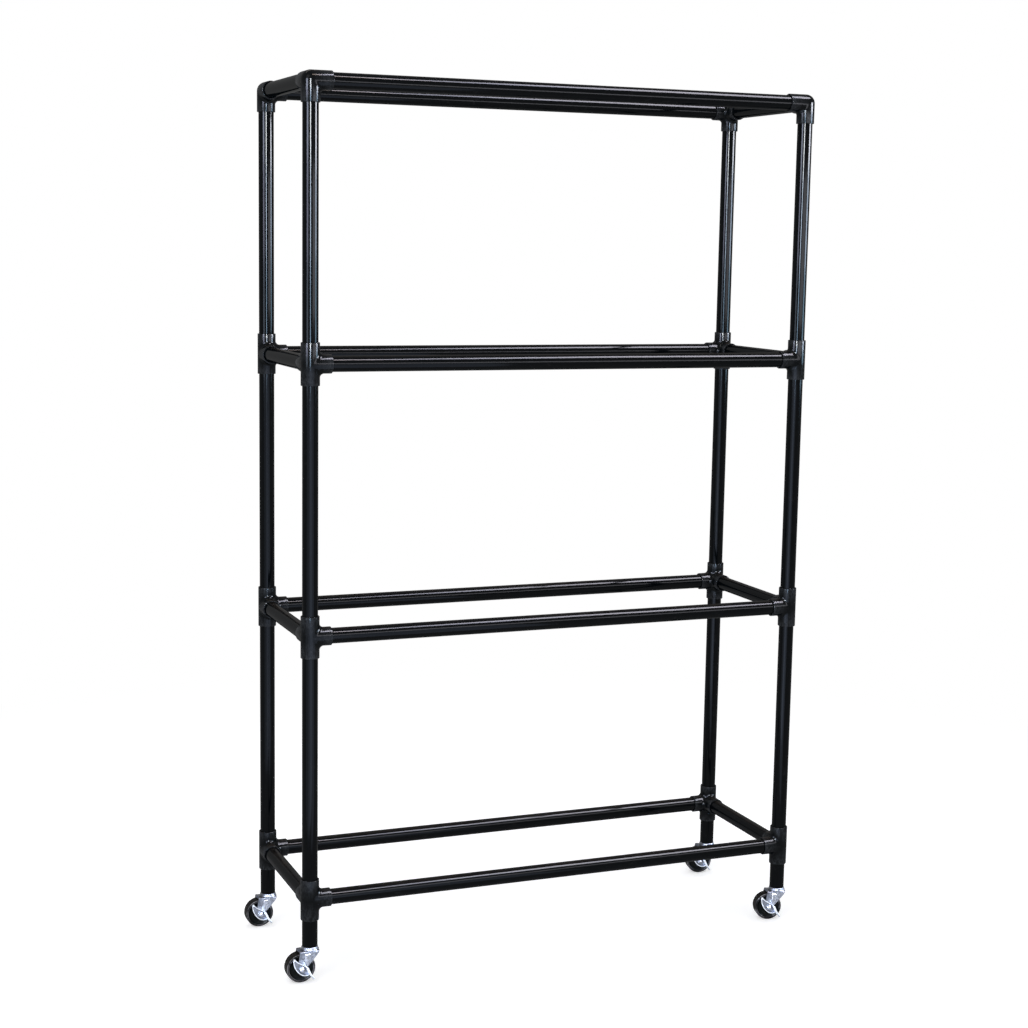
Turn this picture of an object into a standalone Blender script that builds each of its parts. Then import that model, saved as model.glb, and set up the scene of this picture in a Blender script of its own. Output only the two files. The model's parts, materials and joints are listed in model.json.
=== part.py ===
"""Rolling rack for exercise balls, built from plastic pipe and moulded fittings on four braked castors.

Metres, +Z up. X runs along the rack, Y from its front to its back. The origin is on the floor, in the
middle of the rack's outline seen from above. The castors trail towards -X with their brakes on, and the
right-hand pair is turned a little towards the rear.
"""

import math

import bmesh
import bpy
from mathutils import Matrix, Vector

# Frame, measured between pipe axes
RACK_LENGTH = 1.143
RACK_DEPTH = 0.3556
SHELF_PITCH = 0.5715
LOWEST_SHELF = 0.180
LEG_END = 0.077

# One inch pipe
PIPE_RADIUS = 0.0167
PIPE_BORE_RADIUS = 0.0133
PIPE_SIDES = 12
BORE_SIDES = 8

# Moulded fittings
FITTING_RADIUS = 0.0199
FITTING_REACH = 0.0445
SOCKET_DEPTH = 0.0255
CROTCH_FILLET = 0.006
CORE_RADIUS = 0.014
CORE_OVERLAP = 0.001
SOCKET_STOP = FITTING_REACH - SOCKET_DEPTH

# Running and seating gaps
FIT_GAP = 0.0003
WELD = 0.000001
MITRE_WELD = 0.00001

# Castor stem, heights down from the end of the leg
STEM_RADIUS = 0.0055
STEM_LENGTH = 0.038
STEM_TIP = 0.0015
INSERT_LENGTH = 0.045
RACEWAY_TOP_RADIUS = 0.0175
RACEWAY_RADIUS = 0.0198
RACEWAY_HEIGHT = 0.0074
KINGPIN_RADIUS = 0.004
KINGPIN_HEAD_RADIUS = 0.0065
KINGPIN_HEAD_HEIGHT = 0.0025
STEM_SIDES = 12

# Castor wheel
WHEEL_RADIUS = 0.03175
WHEEL_TRAIL = 0.022
TREAD_HALF_WIDTH = 0.009
WHEEL_HALF_WIDTH = 0.0125
SHOULDER_RADIUS = 0.0288
WEB_RADIUS = 0.0245
WEB_HALF_WIDTH = 0.0105
HUB_RADIUS = 0.0095
HUB_HALF_WIDTH = 0.0135
WHEEL_BORE_RADIUS = 0.0062
WHEEL_SIDES = 20

# Castor fork
FORK_HALF_GAP = 0.0145
FORK_THICKNESS = 0.0022
FORK_OUTSIDE = FORK_HALF_GAP + FORK_THICKNESS
CROWN_TOP = LEG_END - RACEWAY_HEIGHT - 2 * FIT_GAP
CROWN_THICKNESS = 0.0024
CROWN_FRONT = 0.0185
CROWN_REAR = -0.0255
CROWN_CORNER = 0.007
CROWN_FRONT_DROP = CROWN_THICKNESS
FORK_BEND = 0.0035
FORK_END_RADIUS = 0.0082
FORK_END_CENTRE = -WHEEL_TRAIL - 0.0013
RIB_HEIGHT = 0.0015
RIB_TOP_DROP = 0.005
RIB_FOOT = 0.0365
RIB_REAR = -0.0138
RIB_FRONT = -0.0030
RIB_FOOT_FRONT = -0.0106
RIB_SLOPE = 0.0013
BOSS_RADIUS = 0.0066
LIP_RADIUS = 0.0027
LIP_HALF_WIDTH = 0.0055
LIP_CENTRE = -0.0262

# Axle
AXLE_HEIGHT = WHEEL_RADIUS
AXLE_RADIUS = 0.004
AXLE_SIDES = 10
BUSHING_RADIUS = WHEEL_BORE_RADIUS - FIT_GAP
HEX_RADIUS = 0.0066
HEX_HEIGHT = 0.0048
HEX_CHAMFER = 0.0009
BOSS_FACE = FORK_OUTSIDE + RIB_HEIGHT

# Brake lever, positions seen from the front as (along X, up) from the axle
LEVER_THICKNESS = 0.0016
LEVER_INSIDE = BOSS_FACE + FIT_GAP
LEVER_OUTSIDE = LEVER_INSIDE + LEVER_THICKNESS
LEVER_TIP = (-0.0195, 0.0208)
LEVER_FOOT = (0.0096, -0.0152)
LEVER_BOW = 0.0076
LEVER_SHOULDER = ((0.0074, 0.0068), (0.0040, 0.0098), (-0.0100, 0.0146))
LEVER_RIM_WIDTH = 0.0060
LEVER_FLARE = 0.0018
PEDAL_PATH = ((0.0068, 0.0070), (0.0132, -0.0086), (0.0207, -0.0190))
PEDAL_THICKNESS = 0.0018
PEDAL_OUTSIDE = 0.036
PEDAL_CORNER = 0.004
BOW_STEPS = 7

SMOOTH_ANGLE = math.radians(32)
MOULDED_ANGLE = math.radians(50)
CREASE_ANGLE = math.radians(40)
FLAT_ANGLE = math.radians(0.5)

POST_X = {"left": -RACK_LENGTH / 2, "right": RACK_LENGTH / 2}
POST_Y = {"front": -RACK_DEPTH / 2, "rear": RACK_DEPTH / 2}
SHELVES = ("bottom_shelf", "lower_shelf", "upper_shelf", "top_shelf")
BAYS = ("lower_post", "middle_post", "upper_post")
INWARD = {"left": 1, "right": -1}

# How far each castor is turned about its stem, in degrees seen from above
CASTOR_TURN = {"front_left": 0, "rear_left": 0, "front_right": -14, "rear_right": -12}


def clear_scene():
    for item in list(bpy.data.objects):
        bpy.data.objects.remove(item)


def make_material(name, colour, roughness, metallic=0.0):
    """A plain Principled material with one colour."""
    material = bpy.data.materials.new(name)
    material.use_nodes = True
    shader = material.node_tree.nodes["Principled BSDF"]
    shader.inputs["Base Color"].default_value = (*colour, 1.0)
    shader.inputs["Roughness"].default_value = roughness
    shader.inputs["Metallic"].default_value = metallic
    return material


def pipe_material():
    return make_material("black pipe", (0.010, 0.012, 0.014), 0.22)


def fitting_material():
    return make_material("black fitting", (0.012, 0.014, 0.016), 0.28)


def zinc_material():
    return make_material("zinc plated steel", (0.62, 0.63, 0.68), 0.30, 1.0)


def bright_steel_material():
    return make_material("bright steel", (0.70, 0.70, 0.72), 0.22, 1.0)


def bushing_material():
    return make_material("bushing steel", (0.45, 0.44, 0.42), 0.40, 1.0)


def rubber_material():
    return make_material("black wheel", (0.011, 0.013, 0.014), 0.38)


def finished_mesh(bm, name, material, sharp_from=SMOOTH_ANGLE):
    """Turns a bmesh into a mesh with its faces outwards, smooth except at real edges."""
    bmesh.ops.recalc_face_normals(bm, faces=bm.faces)
    mesh = bpy.data.meshes.new(name)
    bm.to_mesh(mesh)
    bm.free()
    mesh.materials.append(material)
    mesh.shade_smooth()
    mesh.set_sharp_from_angle(angle=sharp_from)
    return mesh


def place(name, mesh, location, parent=None):
    """One named piece at its place in the rack, or relative to the empty that carries it."""
    piece = bpy.data.objects.new(name, mesh)
    bpy.context.scene.collection.objects.link(piece)
    piece.parent = parent
    piece.location = location
    return piece


def add_empty(name, location, parent=None):
    empty = place(name, None, location, parent)
    empty.empty_display_size = 0.03
    return empty


def axis_matrix(direction):
    """Turns +Z to one of the six axis directions and keeps the pipe corners on the other two axes."""
    turns = {
        (0, 0, 1): Matrix.Identity(4),
        (0, 0, -1): Matrix.Rotation(math.pi, 4, "X"),
        (1, 0, 0): Matrix.Rotation(math.pi / 2, 4, "Y"),
        (-1, 0, 0): Matrix.Rotation(-math.pi / 2, 4, "Y"),
        (0, 1, 0): Matrix.Rotation(-math.pi / 2, 4, "X"),
        (0, -1, 0): Matrix.Rotation(math.pi / 2, 4, "X"),
    }
    return turns[tuple(direction)]


def cylinder(radius, start, end, sides, direction=(0, 0, 1), centre=(0, 0, 0)):
    """A closed cylinder from start to end along one axis direction."""
    bm = bmesh.new()
    along = Matrix.Translation((0, 0, (start + end) / 2))
    bmesh.ops.create_cone(
        bm,
        cap_ends=True,
        segments=sides,
        radius1=radius,
        radius2=radius,
        depth=end - start,
        matrix=Matrix.Translation(centre) @ axis_matrix(direction) @ along,
    )
    return bm


def ball(radius, sides):
    bm = bmesh.new()
    bmesh.ops.create_uvsphere(bm, u_segments=sides, v_segments=sides // 2, radius=radius)
    return bm


def box(low, high):
    """A closed box between two opposite corners."""
    bm = bmesh.new()
    low, high = Vector(low), Vector(high)
    size = Matrix.Diagonal((*(high - low), 1))
    bmesh.ops.create_cube(bm, size=1, matrix=Matrix.Translation((low + high) / 2) @ size)
    return bm


def prism(outline, low, high, upright=False):
    """Extrudes an outline: an (x, z) outline along Y, or an upright (x, y) one along Z."""
    bm = bmesh.new()
    if upright:
        corners = [(x, y, low) for x, y in outline]
        sweep = (0, 0, high - low)
    else:
        corners = [(x, low, z) for x, z in outline]
        sweep = (0, high - low, 0)
    face = bm.faces.new([bm.verts.new(corner) for corner in corners])
    extruded = bmesh.ops.extrude_face_region(bm, geom=[face])["geom"]
    moved = [item for item in extruded if isinstance(item, bmesh.types.BMVert)]
    bmesh.ops.translate(bm, vec=sweep, verts=moved)
    bmesh.ops.recalc_face_normals(bm, faces=bm.faces)
    return bm


def turned(profile, sides, ring=False, direction=(0, 0, 1)):
    """Spins a profile of (radius, height) points, open from axis to axis or closed for a ring."""
    bm = bmesh.new()
    points = [bm.verts.new((radius, 0, height)) for radius, height in profile]
    pairs = list(zip(points, points[1:]))
    if ring:
        pairs.append((points[-1], points[0]))
    edges = [bm.edges.new(pair) for pair in pairs]
    bmesh.ops.spin(
        bm,
        geom=points + edges,
        cent=(0, 0, 0),
        axis=(0, 0, 1),
        angle=2 * math.pi,
        steps=sides,
        use_merge=True,
    )
    bmesh.ops.remove_doubles(bm, verts=bm.verts, dist=WELD)
    bmesh.ops.transform(bm, matrix=axis_matrix(direction), verts=bm.verts)
    bmesh.ops.recalc_face_normals(bm, faces=bm.faces)
    return bm


def arc(centre, radius, start, end, steps):
    """Points along an arc in degrees, both ends included."""
    angles = [math.radians(start + (end - start) * step / steps) for step in range(steps + 1)]
    return [(centre[0] + radius * math.cos(a), centre[1] + radius * math.sin(a)) for a in angles]


def combined(first, others, operation):
    """Joins or cuts closed shapes with exact Booleans and gives the result with flat faces merged."""
    base = place("base", bpy.data.meshes.new("base"), (0, 0, 0))
    first.to_mesh(base.data)
    first.free()
    tools = []
    for other in others:
        tool = place("tool", bpy.data.meshes.new("tool"), (0, 0, 0))
        other.to_mesh(tool.data)
        other.free()
        cut = base.modifiers.new("cut", "BOOLEAN")
        cut.operation = operation
        cut.solver = "EXACT"
        cut.object = tool
        tools.append(tool)
    bpy.context.view_layer.update()
    graph = bpy.context.evaluated_depsgraph_get()
    bm = bmesh.new()
    bm.from_object(base, graph)
    for helper in (base, *tools):
        bpy.data.objects.remove(helper)
    bmesh.ops.remove_doubles(bm, verts=bm.verts, dist=WELD)
    bmesh.ops.dissolve_limit(bm, angle_limit=FLAT_ANGLE, verts=bm.verts, edges=bm.edges)
    return bm


def append(whole, piece):
    """Adds a copy of piece's faces to whole."""
    mesh = bpy.data.meshes.new("piece")
    piece.to_mesh(mesh)
    piece.free()
    whole.from_mesh(mesh)
    bpy.data.meshes.remove(mesh)


def clip(bm, outward):
    """Cuts off what lies beyond a plane through the origin."""
    bmesh.ops.bisect_plane(
        bm,
        geom=[*bm.verts, *bm.edges, *bm.faces],
        dist=WELD,
        plane_co=(0, 0, 0),
        plane_no=outward,
        clear_outer=True,
    )


def bevel_edges(bm, edges, width, segments):
    bmesh.ops.bevel(
        bm,
        geom=edges,
        offset=width,
        offset_type="OFFSET",
        segments=segments,
        profile=0.5,
        affect="EDGES",
        clamp_overlap=True,
        material=-1,
    )


def round_crotches(bm):
    """Rolls a fillet along the inside corners where the outlets of a fitting meet."""
    creases = [edge for edge in bm.edges if edge.calc_face_angle_signed() < -CREASE_ANGLE]
    bevel_edges(bm, creases, CROTCH_FILLET, 1)


def pipe_mesh(name, length, material):
    """A straight pipe along +Z from the origin, open right through."""
    wall = cylinder(PIPE_RADIUS, 0, length, PIPE_SIDES)
    bore = cylinder(PIPE_BORE_RADIUS, -length, 2 * length, BORE_SIDES)
    return finished_mesh(combined(wall, [bore], "DIFFERENCE"), name, material)


def leg_mesh(length, material):
    """A leg with its castor socket pressed into the lower end, which leaves a bore for the stem."""
    wall = cylinder(PIPE_RADIUS, 0, length, PIPE_SIDES)
    bore = cylinder(PIPE_BORE_RADIUS, INSERT_LENGTH, 2 * length, BORE_SIDES)
    socket = cylinder(STEM_RADIUS + 2 * FIT_GAP, -length, INSERT_LENGTH + CORE_OVERLAP, BORE_SIDES)
    return finished_mesh(combined(wall, [bore, socket], "DIFFERENCE"), "leg", material)


def mitred(radius, reach, sides, outlets):
    """Equal round arms that meet at the origin, each cut back to the planes midway to its neighbours.

    Three arms at a corner leave one octant open, which a piece of a ball closes.
    """
    whole = bmesh.new()
    for outlet in outlets:
        arm = cylinder(radius, 0, reach, sides, outlet)
        inner_cap = min(arm.faces, key=lambda face: face.calc_center_median().dot(Vector(outlet)))
        arm.faces.remove(inner_cap)
        for other in outlets:
            if other != outlet:
                clip(arm, Vector(other) - Vector(outlet))
        append(whole, arm)
    if len(outlets) == 3:
        octant = ball(radius, sides)
        for outlet in outlets:
            clip(octant, Vector(outlet))
        append(whole, octant)
    bmesh.ops.remove_doubles(whole, verts=whole.verts, dist=MITRE_WELD)
    bmesh.ops.recalc_face_normals(whole, faces=whole.faces)
    return whole


def fitting_outlets(inward, depthwise, is_corner):
    """The directions in which a fitting's outlets point."""
    outlets = [(0, 0, -1), (inward, 0, 0), (0, depthwise, 0)]
    if not is_corner:
        outlets.append((0, 0, 1))
    return outlets


def fitting_body(outlets):
    """The outer shape of a fitting round its centre, with filleted crotches."""
    bm = mitred(FITTING_RADIUS, FITTING_REACH, PIPE_SIDES, outlets)
    round_crotches(bm)
    return bm


def fitting_bores(outlets, centre, depthwise):
    """The cutters for one fitting: its mitred core, and a socket down to the stop at each open outlet."""
    core = mitred(CORE_RADIUS, SOCKET_STOP + CORE_OVERLAP, BORE_SIDES, outlets)
    bmesh.ops.translate(core, vec=centre, verts=core.verts)
    mouth = FITTING_REACH + CORE_OVERLAP
    sockets = [
        cylinder(PIPE_RADIUS + FIT_GAP, SOCKET_STOP, mouth, PIPE_SIDES, outlet, centre)
        for outlet in outlets
        if outlet != (0, depthwise, 0)
    ]
    return [core, *sockets]


def end_rung_mesh(inward, is_corner, material):
    """A rung welded into its front and rear fittings, whose other outlets stay open sockets.

    The front fitting's centre is the origin and the rear one's is RACK_DEPTH behind it.
    """
    rear_centre = (0, RACK_DEPTH, 0)
    front_outlets = fitting_outlets(inward, 1, is_corner)
    rear_outlets = fitting_outlets(inward, -1, is_corner)
    front = fitting_body(front_outlets)
    rear = fitting_body(rear_outlets)
    bmesh.ops.translate(rear, vec=rear_centre, verts=rear.verts)
    backwards = (0, 1, 0)
    rung = cylinder(PIPE_RADIUS, SOCKET_STOP, RACK_DEPTH - SOCKET_STOP, PIPE_SIDES, backwards)
    bore = cylinder(PIPE_BORE_RADIUS, CORE_RADIUS, RACK_DEPTH - CORE_RADIUS, BORE_SIDES, backwards)
    shell = combined(front, [rear, rung], "UNION")
    cutters = fitting_bores(front_outlets, (0, 0, 0), 1) + fitting_bores(rear_outlets, rear_centre, -1)
    hollow = combined(shell, [*cutters, bore], "DIFFERENCE")
    return finished_mesh(hollow, "end_rung", material, MOULDED_ANGLE)


def stem_mesh(material):
    """Grip stem, raceway cup and riveted kingpin, turned about the leg's axis from its lower end."""
    crown_under = -RACEWAY_HEIGHT - 3 * FIT_GAP - CROWN_THICKNESS
    profile = (
        (0, crown_under - KINGPIN_HEAD_HEIGHT),
        (KINGPIN_HEAD_RADIUS, crown_under - KINGPIN_HEAD_HEIGHT),
        (KINGPIN_HEAD_RADIUS, crown_under),
        (KINGPIN_RADIUS, crown_under),
        (KINGPIN_RADIUS, -RACEWAY_HEIGHT - FIT_GAP),
        (RACEWAY_RADIUS, -RACEWAY_HEIGHT - FIT_GAP),
        (RACEWAY_RADIUS, -RACEWAY_HEIGHT / 2),
        (RACEWAY_TOP_RADIUS, -FIT_GAP),
        (STEM_RADIUS, -FIT_GAP),
        (STEM_RADIUS, STEM_LENGTH - STEM_TIP),
        (STEM_RADIUS - STEM_TIP, STEM_LENGTH),
        (0, STEM_LENGTH),
    )
    return finished_mesh(turned(profile, STEM_SIDES), "castor_stem", material)


def fork_side_outline():
    """The fork seen from the side: crown, slanted front edge and a round end below the axle."""
    end = arc((FORK_END_CENTRE, AXLE_HEIGHT), FORK_END_RADIUS, -40, -172, 4)
    return [
        (CROWN_REAR, CROWN_TOP),
        (CROWN_FRONT, CROWN_TOP),
        (CROWN_FRONT, CROWN_TOP - CROWN_FRONT_DROP),
        *end,
    ]


def fork_plan_outline():
    """The fork seen from above: square at the rear and rounded at the front corners."""
    centre_x = CROWN_FRONT - CROWN_CORNER
    centre_y = FORK_OUTSIDE - CROWN_CORNER
    rear = -WHEEL_TRAIL - WHEEL_RADIUS
    return [
        (rear, -FORK_OUTSIDE),
        *arc((centre_x, -centre_y), CROWN_CORNER, -90, 0, 2),
        *arc((centre_x, centre_y), CROWN_CORNER, 0, 90, 2),
        (rear, FORK_OUTSIDE),
    ]


def fork_blank():
    """The folded blank before piercing: the side outline folded down over both legs."""
    outside = prism(fork_side_outline(), -FORK_OUTSIDE, FORK_OUTSIDE)
    folds = [edge for edge in outside.edges if all(abs(v.co.z - CROWN_TOP) < WELD for v in edge.verts)]
    folds = [edge for edge in folds if abs(edge.verts[0].co.y - edge.verts[1].co.y) < WELD]
    bevel_edges(outside, folds, FORK_BEND, 1)
    plan = prism(fork_plan_outline(), 0, LEG_END, upright=True)
    return combined(outside, [plan], "INTERSECT")


def fork_inside():
    """The room between the legs, cut from below the crown."""
    reach = WHEEL_TRAIL + 2 * WHEEL_RADIUS
    inside = box((-reach, -FORK_HALF_GAP, 0), (reach, FORK_HALF_GAP, CROWN_TOP - CROWN_THICKNESS))
    top_z = CROWN_TOP - CROWN_THICKNESS
    folds = [edge for edge in inside.edges if all(abs(v.co.z - top_z) < WELD for v in edge.verts)]
    folds = [edge for edge in folds if abs(edge.verts[0].co.y - edge.verts[1].co.y) < WELD]
    bevel_edges(inside, folds, FORK_BEND - FORK_THICKNESS, 1)
    return inside


def leg_rib(side):
    """A pressed rib with sloping flanks on one leg of the fork, narrowing downwards."""
    top = CROWN_TOP - RIB_TOP_DROP
    outline = [(RIB_REAR, top), (RIB_FRONT, top), (RIB_FOOT_FRONT, RIB_FOOT), (RIB_REAR, RIB_FOOT)]
    root = FORK_OUTSIDE - FIT_GAP
    rib = prism(outline, FORK_OUTSIDE - FORK_THICKNESS / 2, root)
    crest = max(rib.faces, key=lambda face: face.calc_center_median().y)
    bmesh.ops.inset_region(rib, faces=[crest], thickness=RIB_SLOPE)
    bmesh.ops.translate(rib, vec=(0, BOSS_FACE - root, 0), verts=crest.verts)
    if side < 0:
        bmesh.ops.scale(rib, vec=(1, -1, 1), verts=rib.verts)
        bmesh.ops.reverse_faces(rib, faces=rib.faces)
    return rib


def axle_boss(side):
    """The round pressing about the axle hole, on one leg of the fork."""
    centre = (-WHEEL_TRAIL, 0, AXLE_HEIGHT)
    inner = FORK_OUTSIDE - FORK_THICKNESS / 2
    return cylinder(BOSS_RADIUS, inner, BOSS_FACE, STEM_SIDES, (0, side, 0), centre)


def crown_lip():
    """The rolled lip at the rear edge of the crown, over the wheel."""
    height = CROWN_TOP + LIP_RADIUS / 3
    start = (LIP_CENTRE, -LIP_HALF_WIDTH, height)
    return cylinder(LIP_RADIUS, 0, 2 * LIP_HALF_WIDTH, AXLE_SIDES, (0, 1, 0), start)


def fork_mesh(material):
    """The stamped fork about the swivel axis, with ribbed legs, axle holes and a kingpin hole."""
    raised = [leg_rib(-1), leg_rib(1), axle_boss(-1), axle_boss(1), crown_lip()]
    solid = combined(fork_blank(), raised, "UNION")
    axle = cylinder(
        AXLE_RADIUS + FIT_GAP,
        -PEDAL_OUTSIDE,
        PEDAL_OUTSIDE,
        AXLE_SIDES,
        (0, 1, 0),
        (-WHEEL_TRAIL, 0, AXLE_HEIGHT),
    )
    kingpin = cylinder(KINGPIN_RADIUS + FIT_GAP, AXLE_HEIGHT, 2 * LEG_END, AXLE_SIDES)
    pierced = combined(solid, [fork_inside(), axle, kingpin], "DIFFERENCE")
    return finished_mesh(pierced, "castor_fork", material)


def wheel_mesh(material):
    """The wheel about its axle, flat across the tread with recessed sides and a hub boss."""
    corner = 1 / math.cos(math.pi / WHEEL_SIDES)
    half = [
        (WHEEL_BORE_RADIUS, HUB_HALF_WIDTH),
        (HUB_RADIUS, HUB_HALF_WIDTH),
        (WEB_RADIUS, WEB_HALF_WIDTH),
        (SHOULDER_RADIUS, WHEEL_HALF_WIDTH),
        (WHEEL_RADIUS, TREAD_HALF_WIDTH),
    ]
    mirrored = [(radius, -width) for radius, width in reversed(half)]
    profile = [(radius * corner, width) for radius, width in half + mirrored]
    bm = turned(profile, WHEEL_SIDES, ring=True)
    half_step = Matrix.Rotation(math.pi / WHEEL_SIDES, 4, "Z")
    bmesh.ops.transform(bm, matrix=axis_matrix((0, 1, 0)) @ half_step, verts=bm.verts)
    return finished_mesh(bm, "wheel", material)


def bushing_mesh(material):
    """The sleeve between the fork's legs that the wheel turns on."""
    half_length = FORK_HALF_GAP - FIT_GAP
    bore = AXLE_RADIUS + FIT_GAP
    profile = (
        (bore, -half_length),
        (BUSHING_RADIUS, -half_length),
        (BUSHING_RADIUS, half_length),
        (bore, half_length),
    )
    return finished_mesh(turned(profile, WHEEL_SIDES // 2, True, (0, 1, 0)), "bushing", material)


def hexagon(start, end, direction):
    """A hexagonal prism whose outer end has its corners taken off."""
    bm = cylinder(HEX_RADIUS, start, end, 6, direction)
    outward = Vector(direction)
    rim = [edge for edge in bm.edges if all(v.co.dot(outward) > end - WELD for v in edge.verts)]
    bevel_edges(bm, rim, HEX_CHAMFER, 1)
    return bm


def bolt_mesh(material):
    """The axle bolt, head at the rear and threaded end through the lever at the front."""
    head_start = BOSS_FACE + FIT_GAP
    shank_end = LEVER_OUTSIDE + HEX_HEIGHT + 4 * FIT_GAP + AXLE_RADIUS / 2
    shank = cylinder(AXLE_RADIUS, -shank_end, head_start + CORE_OVERLAP, AXLE_SIDES, (0, 1, 0))
    head = hexagon(head_start, head_start + HEX_HEIGHT, (0, 1, 0))
    return finished_mesh(combined(head, [shank], "UNION"), "axle_bolt", material)


def nut_mesh(material):
    """The nut at the front end of the axle bolt, outside the brake lever."""
    start = LEVER_OUTSIDE + FIT_GAP
    body = hexagon(start, start + HEX_HEIGHT, (0, -1, 0))
    bore = cylinder(AXLE_RADIUS + FIT_GAP, 0, PEDAL_OUTSIDE, AXLE_SIDES, (0, -1, 0))
    return finished_mesh(combined(body, [bore], "DIFFERENCE"), "axle_nut", material)


def beside(start, end):
    """The unit vector square to the way from start to end, on its right."""
    chord = Vector(end) - Vector(start)
    return Vector((chord.y, -chord.x)).normalized()


def bowed_edge(start, end, bow, steps):
    """Points along a shallow arc that bows to the right of the way from start to end."""
    first, last = Vector(start), Vector(end)
    points = []
    for step in range(steps + 1):
        along = step / steps
        points.append(first.lerp(last, along) + beside(start, end) * (4 * bow * along * (1 - along)))
    return [(point.x, point.y) for point in points]


def offset_path(path, width):
    """A strip's outline: the path out and the same path back, moved sideways by width."""
    back = []
    for index, point in enumerate(path):
        before = Vector(path[max(index - 1, 0)])
        after = Vector(path[min(index + 1, len(path) - 1)])
        along = (after - before).normalized()
        side = Vector((-along.y, along.x)) * width
        back.append((point[0] + side.x, point[1] + side.y))
    return list(path) + back[::-1]


def lever_rim(bowed):
    """The rim turned out along the lever's bowed edge, flared away from the axle."""
    edge = -LEVER_OUTSIDE - LEVER_RIM_WIDTH
    rim = prism(offset_path(bowed, LEVER_THICKNESS), edge, -LEVER_INSIDE)
    away = beside(LEVER_TIP, LEVER_FOOT) * LEVER_FLARE
    outer = [vert for vert in rim.verts if vert.co.y < edge + WELD]
    bmesh.ops.translate(rim, vec=(away.x, 0, away.y), verts=outer)
    return rim


def lever_pedal():
    """The foot pedal bent out of the lever, with its free corners rounded."""
    pedal = prism(offset_path(PEDAL_PATH, PEDAL_THICKNESS), -PEDAL_OUTSIDE, -LEVER_INSIDE)
    low = min(vert.co.z for vert in pedal.verts) + PEDAL_THICKNESS
    outer = [edge for edge in pedal.edges if all(v.co.y < -PEDAL_OUTSIDE + WELD for v in edge.verts)]
    tip = [edge for edge in outer if all(v.co.z < low for v in edge.verts)]
    bevel_edges(pedal, tip, PEDAL_CORNER, 2)
    return pedal


def lever_mesh(material):
    """The stamped brake lever about the axle: web, rim and pedal in one piece, pierced for the bolt."""
    bowed = bowed_edge(LEVER_TIP, LEVER_FOOT, LEVER_BOW, BOW_STEPS)
    web_outline = bowed + [PEDAL_PATH[1]] + list(LEVER_SHOULDER)
    web = prism(web_outline, -LEVER_OUTSIDE, -LEVER_INSIDE)
    bore = cylinder(AXLE_RADIUS + FIT_GAP, 0, PEDAL_OUTSIDE, AXLE_SIDES, (0, -1, 0))
    solid = combined(web, [lever_rim(bowed), lever_pedal()], "UNION")
    return finished_mesh(combined(solid, [bore], "DIFFERENCE"), "brake_lever", material)


def corners():
    """Each corner post's name with the place of its axis."""
    for side, x in POST_X.items():
        for end, y in POST_Y.items():
            yield f"{end}_{side}", x, y


def build_posts(frame, material):
    """Four legs, and three post pipes above each, which reach to the stops inside the fittings."""
    seat = SOCKET_STOP + FIT_GAP
    leg = leg_mesh(LOWEST_SHELF - seat - LEG_END, material)
    post = pipe_mesh("post", SHELF_PITCH - 2 * seat, material)
    for corner, x, y in corners():
        place(f"leg_{corner}", leg, (x, y, LEG_END), frame)
        for bay, name in enumerate(BAYS):
            height = LOWEST_SHELF + bay * SHELF_PITCH + seat
            place(f"{name}_{corner}", post, (x, y, height), frame)


def build_shelves(frame, pipe, fitting):
    """Each shelf's front and rear rails and the two end rungs that hold them."""
    seat = SOCKET_STOP + FIT_GAP
    rail = pipe_mesh("rail", RACK_LENGTH - 2 * seat, pipe)
    along_x = axis_matrix((1, 0, 0)).to_euler()
    for level, shelf in enumerate(SHELVES):
        height = LOWEST_SHELF + level * SHELF_PITCH
        for end, y in POST_Y.items():
            piece = place(f"{shelf}_{end}_rail", rail, (POST_X["left"] + seat, y, height), frame)
            piece.rotation_euler = along_x
    for side, x in POST_X.items():
        tee_rung = end_rung_mesh(INWARD[side], False, fitting)
        corner_rung = end_rung_mesh(INWARD[side], True, fitting)
        for level, shelf in enumerate(SHELVES):
            is_top = level == len(SHELVES) - 1
            height = LOWEST_SHELF + level * SHELF_PITCH
            mesh = corner_rung if is_top else tee_rung
            place(f"{shelf}_{side}_end_rung", mesh, (x, POST_Y["front"], height), frame)


def build_castors(frame, rubber, zinc, bright, dull):
    """Four swivel castors, each with its wheel and brake lever on one axle."""
    meshes = {
        "castor_fork": fork_mesh(zinc),
        "axle_bolt": bolt_mesh(bright),
        "axle_nut": nut_mesh(bright),
        "wheel_bushing": bushing_mesh(dull),
        "wheel": wheel_mesh(rubber),
        "brake_lever": lever_mesh(zinc),
    }
    stem = stem_mesh(bright)
    for corner, x, y in corners():
        place(f"castor_stem_{corner}", stem, (x, y, LEG_END), frame)
        swivel = add_empty(f"swivel_{corner}", (x, y, 0), frame)
        swivel.rotation_euler.z = math.radians(CASTOR_TURN[corner])
        axle = add_empty(f"axle_{corner}", (-WHEEL_TRAIL, 0, AXLE_HEIGHT), swivel)
        for name, mesh in meshes.items():
            parent = swivel if name == "castor_fork" else axle
            place(f"{name}_{corner}", mesh, (0, 0, 0), parent)


def centre_outline(frame):
    """Moves the rack until its outline seen from above has its middle at the origin."""
    bpy.context.view_layer.update()
    pieces = [item for item in bpy.data.objects if item.type == "MESH"]
    points = [piece.matrix_world @ vert.co for piece in pieces for vert in piece.data.vertices]
    for axis in (0, 1):
        places = [point[axis] for point in points]
        frame.location[axis] -= (min(places) + max(places)) / 2


def main():
    clear_scene()
    frame = add_empty("frame", (0, 0, 0))
    pipe = pipe_material()
    build_posts(frame, pipe)
    build_shelves(frame, pipe, fitting_material())
    build_castors(frame, rubber_material(), zinc_material(), bright_steel_material(), bushing_material())
    centre_outline(frame)


if __name__ == "__main__":
    main()
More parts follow.
